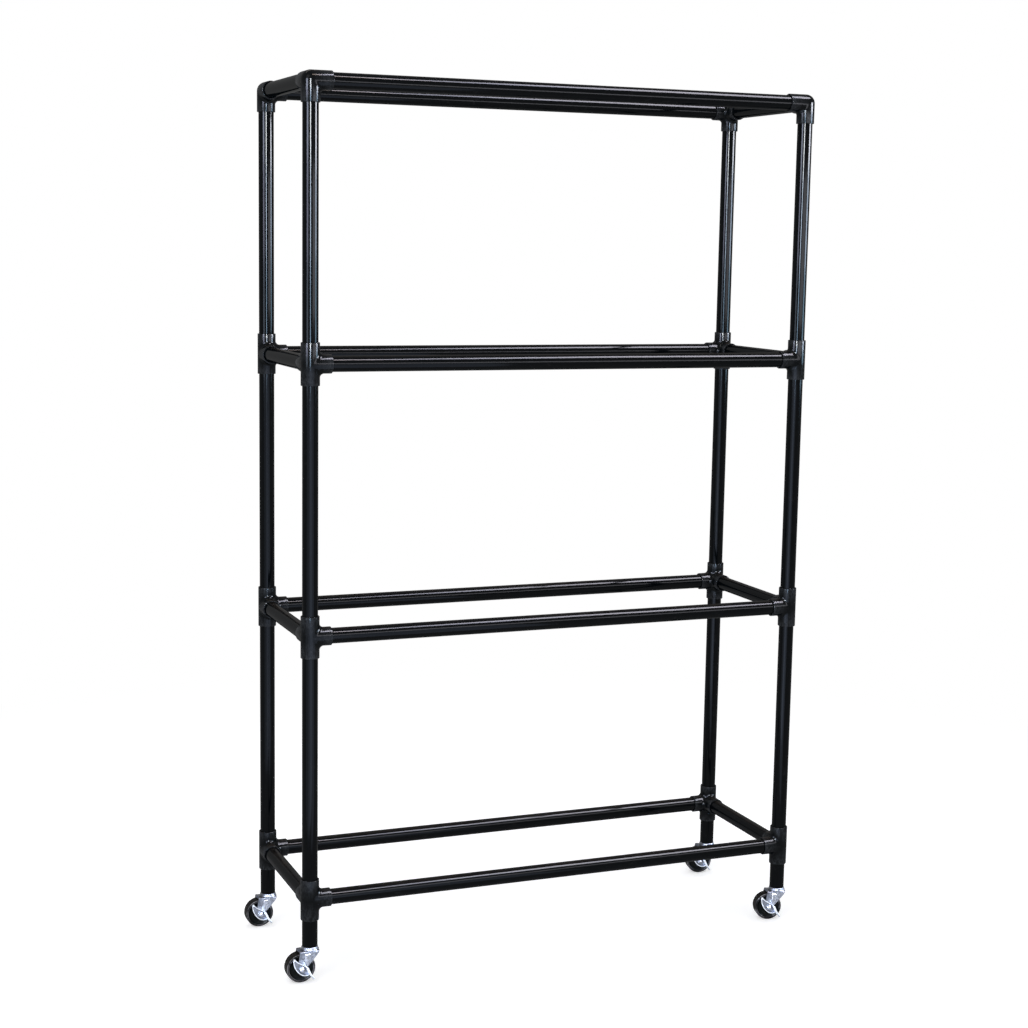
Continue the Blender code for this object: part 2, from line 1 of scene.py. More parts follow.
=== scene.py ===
"""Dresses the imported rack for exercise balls: smooth pipes, moulded fittings and zinc plated castors.

Metres and degrees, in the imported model's frame: +Z up, X along the rack, Y from its front to its rear.
"""

import json
import logging
import math
from dataclasses import dataclass, field
from enum import Enum
from typing import Callable, Sequence

import bmesh
import bpy
from mathutils import Matrix, Vector
from mathutils.geometry import interpolate_bezier


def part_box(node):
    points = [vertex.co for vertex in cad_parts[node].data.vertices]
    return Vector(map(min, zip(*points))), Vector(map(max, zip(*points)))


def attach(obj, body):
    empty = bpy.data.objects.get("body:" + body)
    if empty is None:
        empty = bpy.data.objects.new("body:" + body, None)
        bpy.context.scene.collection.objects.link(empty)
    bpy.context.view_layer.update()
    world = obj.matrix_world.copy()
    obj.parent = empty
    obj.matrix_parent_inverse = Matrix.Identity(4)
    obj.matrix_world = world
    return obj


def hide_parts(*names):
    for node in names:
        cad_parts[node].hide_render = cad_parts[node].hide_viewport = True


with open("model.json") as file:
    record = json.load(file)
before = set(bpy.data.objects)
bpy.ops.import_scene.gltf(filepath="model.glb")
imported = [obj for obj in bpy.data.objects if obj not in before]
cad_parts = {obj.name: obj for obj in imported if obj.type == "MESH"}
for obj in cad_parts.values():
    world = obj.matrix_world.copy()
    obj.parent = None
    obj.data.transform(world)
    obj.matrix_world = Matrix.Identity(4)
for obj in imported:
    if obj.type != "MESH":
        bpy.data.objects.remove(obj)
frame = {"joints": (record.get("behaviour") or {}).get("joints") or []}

LOG = logging.getLogger("rack")
MERGE = 0.000001
MITRE_MERGE = 0.00001
FIT_GAP = 0.0003
FLAT_WITHIN = 0.5
EASED_FROM = 35.0
UP = (0, 0, 1)

Colour = tuple[float, float, float]
Point = tuple[float, float]
Outlet = tuple[int, int, int]
Mark = Callable[[Vector], float]
Feed = float | Colour | Vector | bpy.types.NodeSocket


class Axis(Enum):
    """The way a pipe runs."""

    X = (1, 0, 0)
    Y = (0, 1, 0)
    Z = (0, 0, 1)


class Corner(Enum):
    """The four corners of the rack, as its nodes name them."""

    FRONT_LEFT = "front_left"
    REAR_LEFT = "rear_left"
    FRONT_RIGHT = "front_right"
    REAR_RIGHT = "rear_right"


class Shelf(Enum):
    """The four shelves, from the floor up."""

    BOTTOM = "bottom_shelf"
    LOWER = "lower_shelf"
    UPPER = "upper_shelf"
    TOP = "top_shelf"


class Cut(Enum):
    """What a Boolean does with the second shape."""

    JOIN = "UNION"
    REMOVE = "DIFFERENCE"
    COMMON = "INTERSECT"


def axis_matrix(direction: Sequence[float]) -> Matrix:
    """Turns +Z to one of the six axis directions.

    Args:
        direction: A unit vector along X, Y or Z, either way.

    Returns:
        A rotation that keeps the corners of a turned shape on the other two axes.
    """
    turns = {
        (0, 0, 1): Matrix.Identity(4),
        (0, 0, -1): Matrix.Rotation(math.pi, 4, "X"),
        (1, 0, 0): Matrix.Rotation(math.pi / 2, 4, "Y"),
        (-1, 0, 0): Matrix.Rotation(-math.pi / 2, 4, "Y"),
        (0, 1, 0): Matrix.Rotation(-math.pi / 2, 4, "X"),
        (0, -1, 0): Matrix.Rotation(math.pi / 2, 4, "X"),
    }
    return turns[tuple(direction)]


def arc(centre: Point, radius: float, start: float, end: float, steps: int) -> list[Point]:
    """Points along a circular arc.

    Args:
        centre: The arc's centre.
        radius: Its radius.
        start: The angle of its first point, in degrees.
        end: The angle of its last point, in degrees.
        steps: How many equal steps it is cut into.

    Returns:
        The points, both ends included.
    """
    angles = [math.radians(start + (end - start) * step / steps) for step in range(steps + 1)]
    return [(centre[0] + radius * math.cos(a), centre[1] + radius * math.sin(a)) for a in angles]


def swept(start: Point, first: Point, second: Point, end: Point, steps: int) -> list[Point]:
    """Points along a smooth curve that two handles pull on.

    Args:
        start: The first point.
        first: The handle that the curve leaves the first point towards.
        second: The handle that it reaches the last point from.
        end: The last point.
        steps: How many steps it is cut into.

    Returns:
        The points, both ends included.
    """
    knots = [Vector(point).to_3d() for point in (start, first, second, end)]
    return [(point.x, point.y) for point in interpolate_bezier(*knots, steps + 1)]


def beside(start: Point, end: Point) -> Vector:
    """The unit vector square to the way from start to end.

    Args:
        start: The first point.
        end: The last point.

    Returns:
        A vector that points to the right of that way.
    """
    chord = Vector(end) - Vector(start)
    return Vector((chord.y, -chord.x)).normalized()


def strip(path: Sequence[Point], width: float) -> list[Point]:
    """The outline of a strip of even width.

    Args:
        path: One side of the strip.
        width: How far the other side lies to the left of the path.

    Returns:
        The path and then its other side backwards.
    """
    back = []
    for index, point in enumerate(path):
        before = Vector(path[max(index - 1, 0)])
        after = Vector(path[min(index + 1, len(path) - 1)])
        side = beside(before, after) * -width
        back.append((point[0] + side.x, point[1] + side.y))
    return list(path) + back[::-1]


def tongue(path: Sequence[Point], width: float) -> list[Point]:
    """The outline of a strip with a round far end.

    Args:
        path: One side of the strip.
        width: How far the other side lies to the left of the path.

    Returns:
        The outline.
    """
    outline = strip(path, width)
    count = len(path)
    corner = Vector(outline[count - 1])
    middle = (corner + Vector(outline[count])) / 2
    start = math.degrees(math.atan2(corner.y - middle.y, corner.x - middle.x))
    end = arc((middle.x, middle.y), width / 2, start, start + 180, 10)
    return outline[:count] + end[1:-1] + outline[count:]


def both_sides(half: Sequence[Point]) -> list[Point]:
    """A ring's profile from the half above its middle.

    Args:
        half: Points of radius and height, from the inside out.

    Returns:
        The points and then their mirror images backwards.
    """
    return [*half, *((radius, -height) for radius, height in reversed(half))]


class Form:
    """A closed shape in the making, held as a bmesh."""

    def __init__(self, bm: bmesh.types.BMesh) -> None:
        """Takes over a bmesh."""
        self.bm = bm

    @classmethod
    def cylinder(
        cls,
        radius: float,
        start: float,
        end: float,
        sides: int,
        direction: Sequence[float] = UP,
        centre: Sequence[float] = (0, 0, 0),
    ) -> "Form":
        """A closed cylinder along one axis direction.

        Args:
            radius: Its radius.
            start: Where it begins along the direction.
            end: Where it ends.
            sides: How many sides it has.
            direction: The axis direction.
            centre: The point that start and end are measured from.

        Returns:
            The cylinder.
        """
        bm = bmesh.new()
        along = Matrix.Translation((0, 0, (start + end) / 2))
        bmesh.ops.create_cone(
            bm,
            cap_ends=True,
            segments=sides,
            radius1=radius,
            radius2=radius,
            depth=end - start,
            matrix=Matrix.Translation(centre) @ axis_matrix(direction) @ along,
        )
        return cls(bm)

    @classmethod
    def ball(cls, radius: float, sides: int) -> "Form":
        """A ball round the origin.

        Args:
            radius: Its radius.
            sides: How many sides it has round its axis.

        Returns:
            The ball.
        """
        bm = bmesh.new()
        bmesh.ops.create_uvsphere(bm, u_segments=sides, v_segments=sides // 2, radius=radius)
        return cls(bm)

    @classmethod
    def box(cls, low: Sequence[float], high: Sequence[float]) -> "Form":
        """A box between two opposite corners.

        Args:
            low: The lowest corner.
            high: The highest corner.

        Returns:
            The box.
        """
        bm = bmesh.new()
        low, high = Vector(low), Vector(high)
        size = Matrix.Diagonal((*(high - low), 1))
        bmesh.ops.create_cube(bm, size=1, matrix=Matrix.Translation((low + high) / 2) @ size)
        return cls(bm)

    @classmethod
    def prism(cls, outline: Sequence[Point], low: float, high: float, upright: bool = False) -> "Form":
        """An extruded outline.

        Args:
            outline: Points in X and Z, or in X and Y for an upright prism.
            low: Where the prism begins along Y, or along Z for an upright one.
            high: Where it ends.
            upright: Whether it is extruded upwards.

        Returns:
            The prism.
        """
        bm = bmesh.new()
        if upright:
            corners = [(x, y, low) for x, y in outline]
            sweep = (0, 0, high - low)
        else:
            corners = [(x, low, z) for x, z in outline]
            sweep = (0, high - low, 0)
        face = bm.faces.new([bm.verts.new(corner) for corner in corners])
        extruded = bmesh.ops.extrude_face_region(bm, geom=[face])["geom"]
        moved = [item for item in extruded if isinstance(item, bmesh.types.BMVert)]
        bmesh.ops.translate(bm, vec=sweep, verts=moved)
        bmesh.ops.recalc_face_normals(bm, faces=bm.faces)
        return cls(bm)

    @classmethod
    def lathe(
        cls,
        profile: Sequence[Point],
        sides: int,
        ring: bool = False,
        direction: Sequence[float] = UP,
    ) -> "Form":
        """A turned shape.

        Args:
            profile: Points of radius and height, open from axis to axis, or closed for a ring.
            sides: How many steps the turn has.
            ring: Whether the profile closes on itself.
            direction: The axis direction that the profile's height runs along.

        Returns:
            The turned shape.
        """
        bm = bmesh.new()
        points = [bm.verts.new((radius, 0, height)) for radius, height in profile]
        pairs = list(zip(points, points[1:]))
        if ring:
            pairs.append((points[-1], points[0]))
        edges = [bm.edges.new(pair) for pair in pairs]
        bmesh.ops.spin(
            bm,
            geom=points + edges,
            cent=(0, 0, 0),
            axis=UP,
            angle=2 * math.pi,
            steps=sides,
            use_merge=True,
        )
        bmesh.ops.remove_doubles(bm, verts=bm.verts, dist=MERGE)
        bmesh.ops.transform(bm, matrix=axis_matrix(direction), verts=bm.verts)
        bmesh.ops.recalc_face_normals(bm, faces=bm.faces)
        return cls(bm)

    def copy(self) -> "Form":
        """A second form with the same faces."""
        return Form(self.bm.copy())

    def transform(self, matrix: Matrix) -> "Form":
        """Moves, turns or scales the form.

        Args:
            matrix: The transform. One that mirrors turns the faces outwards again.

        Returns:
            The same form.
        """
        bmesh.ops.transform(self.bm, matrix=matrix, verts=self.bm.verts)
        if matrix.determinant() < 0:
            bmesh.ops.reverse_faces(self.bm, faces=self.bm.faces)
        return self

    def add(self, other: "Form") -> "Form":
        """Puts another form's faces beside this one's.

        Args:
            other: The form to take the faces from.

        Returns:
            The same form.
        """
        mesh = bpy.data.meshes.new("faces")
        other.bm.to_mesh(mesh)
        self.bm.from_mesh(mesh)
        bpy.data.meshes.remove(mesh)
        return self

    def clip(self, outward: Vector) -> "Form":
        """Cuts off what lies beyond a plane through the origin.

        Args:
            outward: The plane's direction, towards the side that goes.

        Returns:
            The same form, open where it was cut.
        """
        bmesh.ops.bisect_plane(
            self.bm,
            geom=[*self.bm.verts, *self.bm.edges, *self.bm.faces],
            dist=MERGE,
            plane_co=(0, 0, 0),
            plane_no=outward,
            clear_outer=True,
        )
        return self

    def close_seams(self, distance: float) -> "Form":
        """Merges points that lie together and turns every face outwards.

        Args:
            distance: How far apart merged points may lie.

        Returns:
            The same form.
        """
        bmesh.ops.remove_doubles(self.bm, verts=self.bm.verts, dist=distance)
        bmesh.ops.recalc_face_normals(self.bm, faces=self.bm.faces)
        return self

    def bevel(self, edges: Sequence[bmesh.types.BMEdge], width: float, segments: int) -> "Form":
        """Rounds some edges.

        Args:
            edges: The edges.
            width: How far the round reaches from the edge.
            segments: How many strips the round has.

        Returns:
            The same form.
        """
        bmesh.ops.bevel(
            self.bm,
            geom=list(edges),
            offset=width,
            offset_type="OFFSET",
            segments=segments,
            profile=0.5,
            affect="EDGES",
            clamp_overlap=True,
            material=-1,
        )
        return self

    def folds(self, height: float) -> list[bmesh.types.BMEdge]:
        """The edges along X at one height.

        Args:
            height: The height.

        Returns:
            Those edges.
        """
        level = [edge for edge in self.bm.edges if all(abs(v.co.z - height) < MERGE for v in edge.verts)]
        return [edge for edge in level if abs(edge.verts[0].co.y - edge.verts[1].co.y) < MERGE]

    def combine(self, cut: Cut, *others: "Form") -> "Form":
        """Joins this form with others, or cuts it by them.

        Args:
            cut: What to do with the others.
            others: The other closed forms, which stay as they are.

        Returns:
            A new form with its flat faces merged.
        """
        base = self.piece("base", None)
        tools = []
        for other in others:
            tool = other.piece("tool", None)
            boolean = base.modifiers.new("cut", "BOOLEAN")
            boolean.operation = cut.value
            boolean.solver = "EXACT"
            boolean.object = tool
            tools.append(tool)
        bm = evaluated(base)
        for helper in (base, *tools):
            mesh = helper.data
            bpy.data.objects.remove(helper)
            bpy.data.meshes.remove(mesh)
        bmesh.ops.remove_doubles(bm, verts=bm.verts, dist=MERGE)
        bmesh.ops.dissolve_limit(bm, angle_limit=math.radians(FLAT_WITHIN), verts=bm.verts, edges=bm.edges)
        return Form(bm)

    def piece(
        self,
        name: str,
        material: bpy.types.Material | None,
        sharp_from: float = 40.0,
    ) -> bpy.types.Object:
        """Makes the form an object in the scene.

        Args:
            name: The object's name.
            material: Its material, or none for a helper.
            sharp_from: The least angle between faces that shows as a sharp edge, in degrees.

        Returns:
            The object, at the origin with its place in its mesh.
        """
        mesh = bpy.data.meshes.new(name)
        self.bm.to_mesh(mesh)
        if material:
            mesh.materials.append(material)
        mesh.shade_smooth()
        mesh.set_sharp_from_angle(angle=math.radians(sharp_from))
        made = bpy.data.objects.new(name, mesh)
        bpy.context.scene.collection.objects.link(made)
        return made


def evaluated(helper: bpy.types.Object) -> bmesh.types.BMesh:
    """Reads an object with its modifiers applied.

    Args:
        helper: The object.

    Returns:
        Its mesh as a bmesh.
    """
    bpy.context.view_layer.update()
    bm = bmesh.new()
    bm.from_object(helper, bpy.context.evaluated_depsgraph_get())
    return bm


def eased_edges(made: bpy.types.Object, width: float) -> None:
    """Eases a piece's hard edges with a small round, and shades flat faces flat beside it.

    Args:
        made: The piece.
        width: How far the round reaches.
    """
    bevel = made.modifiers.new("eased edges", "BEVEL")
    bevel.width = width
    bevel.segments = 2
    bevel.limit_method = "ANGLE"
    bevel.angle_limit = math.radians(EASED_FROM)
    bevel.harden_normals = False
    weighted = made.modifiers.new("even normals", "WEIGHTED_NORMAL")
    weighted.keep_sharp = True


def add_node(
    tree: bpy.types.NodeTree, kind: str, inputs: dict[str | int, Feed], **settings: str | bool
) -> bpy.types.Node:
    """Adds a shader node and fills its inputs.

    Args:
        tree: The node tree.
        kind: The node's type, without ShaderNode.
        inputs: A number, a colour, a vector or another node's output for each socket, by name or place.
        settings: The node's own settings.

    Returns:
        The node.
    """
    node = tree.nodes.new(f"ShaderNode{kind}")
    for name, setting in settings.items():
        setattr(node, name, setting)
    for socket, value in inputs.items():
        if isinstance(value, bpy.types.NodeSocket):
            tree.links.new(value, node.inputs[socket])
        else:
            node.inputs[socket].default_value = (*value, 1.0) if isinstance(value, tuple) else value
    return node


class Shading:
    """A material's node tree, with a short method for each kind of node."""

    def __init__(self, name: str) -> None:
        """Starts a material with one Principled BSDF.

        Args:
            name: The material's name.
        """
        self.material = bpy.data.materials.new(name)
        self.material.use_nodes = True
        self.tree = self.material.node_tree
        self.shader = self.tree.nodes["Principled BSDF"]
        self.place = self.node("TexCoord", {}).outputs["Object"]
        self.facing = self.node("NewGeometry", {}).outputs["Normal"]

    def node(self, kind: str, inputs: dict[str | int, Feed], **settings: str | bool) -> bpy.types.Node:
        """Adds a node to the material, as add_node does."""
        return add_node(self.tree, kind, inputs, **settings)

    def set(self, **values: float) -> None:
        """Sets constant shader sockets, named with _ for a space."""
        for name, value in values.items():
            self.shader.inputs[name.replace("_", " ")].default_value = value

    def link(self, name: str, source: bpy.types.NodeSocket) -> None:
        """Feeds one shader socket from another node's output."""
        self.tree.links.new(source, self.shader.inputs[name])

    def noise(
        self,
        scale: Sequence[float],
        detail: float = 3.0,
        roughness: float = 0.5,
        distortion: float = 0.0,
    ) -> bpy.types.NodeSocket:
        """Soft noise in object space.

        Args:
            scale: Features per metre along X, Y and Z.
            detail: How many finer layers it has.
            roughness: How strong those layers are.
            distortion: How much it swirls.

        Returns:
            The factor output, about 0.3 to 0.7.
        """
        inputs = {
            "Vector": self.node("Mapping", {"Vector": self.place, "Scale": Vector(scale)}).outputs[0],
            "Scale": 1.0,
            "Detail": detail,
            "Roughness": roughness,
            "Distortion": distortion,
        }
        return self.node("TexNoise", inputs).outputs[0]

    def remap(
        self,
        value: bpy.types.NodeSocket,
        low: float,
        high: float,
        to_low: float = 0.0,
        to_high: float = 1.0,
    ) -> bpy.types.NodeSocket:
        """Stretches a value from one range to another, and clamps it.

        Args:
            value: The value.
            low: Where the first range begins.
            high: Where it ends.
            to_low: Where the second range begins.
            to_high: Where it ends.

        Returns:
            The new value.
        """
        inputs = {0: value, 1: low, 2: high, 3: to_low, 4: to_high}
        return self.node("MapRange", inputs, clamp=True, interpolation_type="SMOOTHSTEP").outputs[0]

    def maths(
        self, operation: str, first: bpy.types.NodeSocket, second: bpy.types.NodeSocket | float
    ) -> bpy.types.NodeSocket:
        """Combines two values by the Math node's operation of that name."""
        return self.node("Math", {0: first, 1: second}, operation=operation).outputs[0]

    def mix(
        self,
        factor: bpy.types.NodeSocket,
        first: Colour | bpy.types.NodeSocket,
        second: Colour | bpy.types.NodeSocket,
    ) -> bpy.types.NodeSocket:
        """Blends two colours, with the factor giving how much of the second one shows."""
        return self.node("Mix", {0: factor, 6: first, 7: second}, data_type="RGBA").outputs[2]

    def upward(self) -> bpy.types.NodeSocket:
        """How far the surface faces up, from -1 to 1."""
        return self.node("SeparateXYZ", {0: self.facing}).outputs["Z"]

    def attribute(self, name: str) -> bpy.types.NodeSocket:
        """A value painted on the mesh's points."""
        return self.node("Attribute", {}, attribute_name=name).outputs["Fac"]

    def bump(
        self,
        height: bpy.types.NodeSocket,
        strength: float,
        distance: float,
        under: bpy.types.NodeSocket | None = None,
    ) -> bpy.types.NodeSocket:
        """Raises the surface's shading by a height.

        Args:
            height: The height, from 0 to 1.
            strength: How strongly it shows.
            distance: How high 1 stands, in metres.
            under: A bump that this one lies on.

        Returns:
            The normal output.
        """
        inputs = {"Strength": strength, "Distance": distance, "Height": height}
        if under:
            inputs["Normal"] = under
        return self.node("Bump", inputs).outputs["Normal"]


@dataclass(frozen=True)
class PipeFinish:
    """Glossy black extruded pipe: drawn lines along it, faint waves, scuffs and a little dust on top."""

    colour: Colour = (0.0012, 0.0020, 0.0029)
    worn_and_painted_light: Colour = (0.012, 0.012, 0.014)
    dust: Colour = (0.034, 0.028, 0.024)
    shine: float = 0.11
    shine_roughness: float = 0.09
    dull: float = 0.35
    lines_per_metre: float = 1500.0
    slot: str = "pipe"

    def material(self, axis: Axis) -> bpy.types.Material:
        """Builds the finish for pipes that run one way.

        Args:
            axis: The way the pipes run.

        Returns:
            The material.
        """
        sheet = Shading(f"black pipe along {axis.name}")
        sheet.set(Specular_IOR_Level=0.0, Coat_Roughness=self.shine_roughness)
        along = Vector(axis.value)
        across = Vector((1, 1, 1)) - along
        lines = sheet.noise(across * self.lines_per_metre + along * 3, 2)
        waves = sheet.noise(across * 60 + along * 14, 2)
        scuffs = sheet.noise(across * 70 + along * 40, 5, 0.7, 0.6)
        scratches = sheet.noise(across * 900 + along * 160, 3, 0.6)
        patches = sheet.noise((6, 6, 6), 4, 0.6)
        worn_and_painted_light = sheet.maths("MULTIPLY", sheet.remap(scuffs, 0.56, 0.72), sheet.remap(patches, 0.42, 0.62))
        lying = sheet.remap(sheet.upward(), 0.75, 1.0)
        specks = sheet.noise((420, 420, 420), 2, 0.6)
        dusty = sheet.maths("MULTIPLY", lying, sheet.remap(specks, 0.42, 0.66, 0.2, 1.0))
        dusty = sheet.maths("MULTIPLY", dusty, sheet.remap(patches, 0.35, 0.6, 0.3, 1.0))
        colour = sheet.mix(worn_and_painted_light, self.colour, self.worn_and_painted_light)
        sheet.link("Base Color", sheet.mix(dusty, colour, self.dust))
        rough = sheet.remap(lines, 0.3, 0.7, 0.3, 0.4)
        sheet.link("Roughness", sheet.maths("ADD", rough, sheet.maths("MULTIPLY", worn_and_painted_light, self.dull)))
        rubbed_and_painted_highlight = sheet.maths("MAXIMUM", sheet.maths("MULTIPLY", worn_and_painted_light, 0.6), dusty)
        sheet.link("Coat Weight", sheet.remap(rubbed_and_painted_highlight, 0.0, 1.0, self.shine, self.shine * 0.45))
        drawn = sheet.bump(lines, 0.08, 0.00004)
        wavy = sheet.bump(waves, 0.22, 0.0006, drawn)
        fine = sheet.bump(scratches, 0.12, 0.00006, wavy)
        sheet.link("Normal", fine)
        sheet.link("Coat Normal", fine)
        return sheet.material


@dataclass(frozen=True)
class FittingFinish:
    """Moulded black plastic, a little duller than the pipe, with a fine skin and mouths lightened partly by
    rubbing and partly by a painted highlight.
    """

    colour: Colour = (0.0026, 0.0036, 0.0046)
    scuffed: Colour = (0.0064, 0.0060, 0.0066)
    # The pale blue of the mouth rims: partly rubbing, partly a painted highlight.
    rubbed_and_painted_highlight: Colour = (0.030, 0.033, 0.038)
    dust: Colour = (0.040, 0.032, 0.026)
    shine: float = 0.115
    shine_roughness: float = 0.13
    skin_per_metre: float = 900.0
    slot: str = "fitting"

    def material(self) -> bpy.types.Material:
        """Builds the finish.

        Returns:
            The material.
        """
        sheet = Shading("black fitting")
        sheet.set(Specular_IOR_Level=0.0, Coat_Roughness=self.shine_roughness)
        skin = sheet.noise((self.skin_per_metre,) * 3, 2)
        flow = sheet.noise((38, 38, 38), 3, 0.5, 0.4)
        scuffs = sheet.noise((190, 190, 110), 5, 0.7, 0.2)
        patches = sheet.noise((9, 9, 9), 3, 0.6)
        # The rim mark lightens the mouths: partly rubbing, partly a painted highlight.
        edge = sheet.maths("MULTIPLY", sheet.attribute("rim"), sheet.remap(scuffs, 0.38, 0.62, 0.2, 1.0))
        worn_and_painted_light = sheet.maths("MULTIPLY", sheet.remap(scuffs, 0.58, 0.74), sheet.remap(patches, 0.45, 0.62))
        lying = sheet.remap(sheet.upward(), 0.75, 1.0)
        specks = sheet.noise((400, 400, 400), 2, 0.6)
        dusty = sheet.maths("MULTIPLY", lying, sheet.remap(specks, 0.42, 0.66, 0.15, 0.9))
        colour = sheet.mix(edge, sheet.mix(worn_and_painted_light, self.colour, self.scuffed), self.rubbed_and_painted_highlight)
        sheet.link("Base Color", sheet.mix(dusty, colour, self.dust))
        rough = sheet.remap(flow, 0.3, 0.7, 0.35, 0.45)
        sheet.link("Roughness", sheet.maths("ADD", rough, sheet.maths("MULTIPLY", worn_and_painted_light, 0.22)))
        sheet.link("Coat Weight", sheet.remap(dusty, 0.0, 1.0, self.shine, self.shine * 0.5))
        moulded = sheet.bump(skin, 0.16, 0.00005)
        uneven = sheet.bump(flow, 0.25, 0.0005, moulded)
        sheet.link("Normal", uneven)
        sheet.link("Coat Normal", uneven)
        return sheet.material


@dataclass(frozen=True)
class PlatedFinish:
    """Zinc plated steel: bright, a little blue, with faint clouding, rolling lines and small pits."""

    name: str
    slot: str
    colour: Colour = (0.255, 0.270, 0.310)
    shade: Colour = (0.185, 0.198, 0.235)
    stain: Colour = (0.22, 0.20, 0.17)
    # Painted shade: the dark colour that hollows and places where parts meet are painted towards.
    painted_shade_colour: Colour = (0.035, 0.036, 0.042)
    # Painted highlight: the pale colour that the rib slopes and the lever's edges are painted towards.
    rubbed_and_painted_highlight: Colour = (0.80, 0.83, 0.88)
    gloss: float = 0.22
    spread: float = 0.16
    rolled: Sequence[float] = (260.0, 260.0, 1500.0)

    def material(self) -> bpy.types.Material:
        """Builds the finish.

        Returns:
            The material.
        """
        sheet = Shading(self.name)
        sheet.set(Metallic=1.0)
        cloud = sheet.noise((210, 210, 210), 3, 0.6, 0.3)
        grain = sheet.noise(self.rolled, 3, 0.6)
        pits = sheet.noise((1400, 1400, 1400), 2, 0.5)
        spots = sheet.noise((300, 300, 300), 4, 0.7, 1.0)
        tone = sheet.mix(sheet.remap(cloud, 0.36, 0.64), self.shade, self.colour)
        tone = sheet.mix(sheet.remap(spots, 0.62, 0.78, 0.0, 0.6), tone, self.stain)
        # Painted highlight: the crest mark lightens the fork's rib slopes and the lever's rim and pedal
        # edges.
        crest = sheet.attribute("crest")
        tone = sheet.mix(sheet.remap(crest, 0.0, 1.0), tone, self.rubbed_and_painted_highlight)
        # Painted shade: marked points are darkened towards the painted shade colour, and made rougher.
        painted_shade = sheet.attribute("painted_shade")
        sheet.link("Base Color", sheet.mix(sheet.maths("MULTIPLY", painted_shade, 0.9), tone, self.painted_shade_colour))
        rough = sheet.remap(cloud, 0.35, 0.65, self.gloss, self.gloss + self.spread)
        rough = sheet.maths("ADD", rough, sheet.maths("MULTIPLY", painted_shade, 0.15))
        rough = sheet.maths("ADD", rough, sheet.remap(spots, 0.6, 0.75, 0.0, 0.18))
        sheet.link("Roughness", rough)
        lines = sheet.bump(grain, 0.16, 0.00006)
        sheet.link("Normal", sheet.bump(pits, 0.20, 0.00006, lines))
        return sheet.material


@dataclass(frozen=True)
class WheelFinish:
    """Hard black wheel: semi-gloss sides, a scuffed dusty tread, fine turned marks and painted highlight
    rings.
    """

    name: str = "black wheel"
    slot: str = "wheel"
    colour: Colour = (0.0028, 0.0042, 0.0044)
    tread: Colour = (0.016, 0.014, 0.013)
    dust: Colour = (0.045, 0.040, 0.035)
    # Painted highlight: the pale colour of the rings on the tyre's sides.
    rubbed_and_painted_highlight: Colour = (0.27, 0.26, 0.28)
    shine: float = 0.16
    shine_roughness: float = 0.17

    def material(self) -> bpy.types.Material:
        """Builds the finish.

        Returns:
            The material.
        """
        sheet = Shading(self.name)
        sheet.set(Specular_IOR_Level=0.0, Coat_Roughness=self.shine_roughness)
        grain = sheet.noise((900, 900, 900), 3, 0.6)
        scuffs = sheet.noise((190, 190, 190), 5, 0.7, 0.6)
        patches = sheet.noise((40, 40, 40), 3, 0.6)
        rolling = sheet.attribute("tread")
        used = sheet.maths("MULTIPLY", rolling, sheet.remap(scuffs, 0.35, 0.62, 0.35, 1.0))
        dusty = sheet.maths("MULTIPLY", sheet.remap(scuffs, 0.52, 0.72), sheet.remap(patches, 0.4, 0.65))
        dusty = sheet.maths("MULTIPLY", dusty, sheet.remap(rolling, 0.0, 1.0, 0.25, 0.85))
        colour = sheet.mix(used, self.colour, self.tread)
        colour = sheet.mix(dusty, colour, self.dust)
        # Painted highlight: light rings on the tyre's raised lines, in patches.
        rings = sheet.maths("MULTIPLY", sheet.attribute("ring"), sheet.remap(patches, 0.38, 0.62, 0.08, 1.0))
        sheet.link("Base Color", sheet.mix(rings, colour, self.rubbed_and_painted_highlight))
        rough = sheet.remap(grain, 0.3, 0.7, 0.35, 0.45)
        sheet.link("Roughness", sheet.maths("ADD", rough, sheet.maths("MULTIPLY", used, 0.25)))
        sheet.link("Coat Weight", sheet.remap(used, 0.0, 1.0, self.shine, self.shine * 0.35))
        fine = sheet.bump(grain, 0.15, 0.00006)
        uneven = sheet.bump(scuffs, 0.18, 0.0002, fine)
        sheet.link("Normal", uneven)
        sheet.link("Coat Normal", uneven)
        return sheet.material


def paint(made: bpy.types.Object, name: str, test: Mark) -> None:
    """Marks some of a piece's points for its material.

    Args:
        made: The piece.
        name: The name of the mark.
        test: Takes a point's place and returns its value, from 0 to 1.
    """
    layer = made.data.attributes.new(name, "FLOAT", "POINT")
    layer.data.foreach_set("value", [test(vertex.co) for vertex in made.data.vertices])


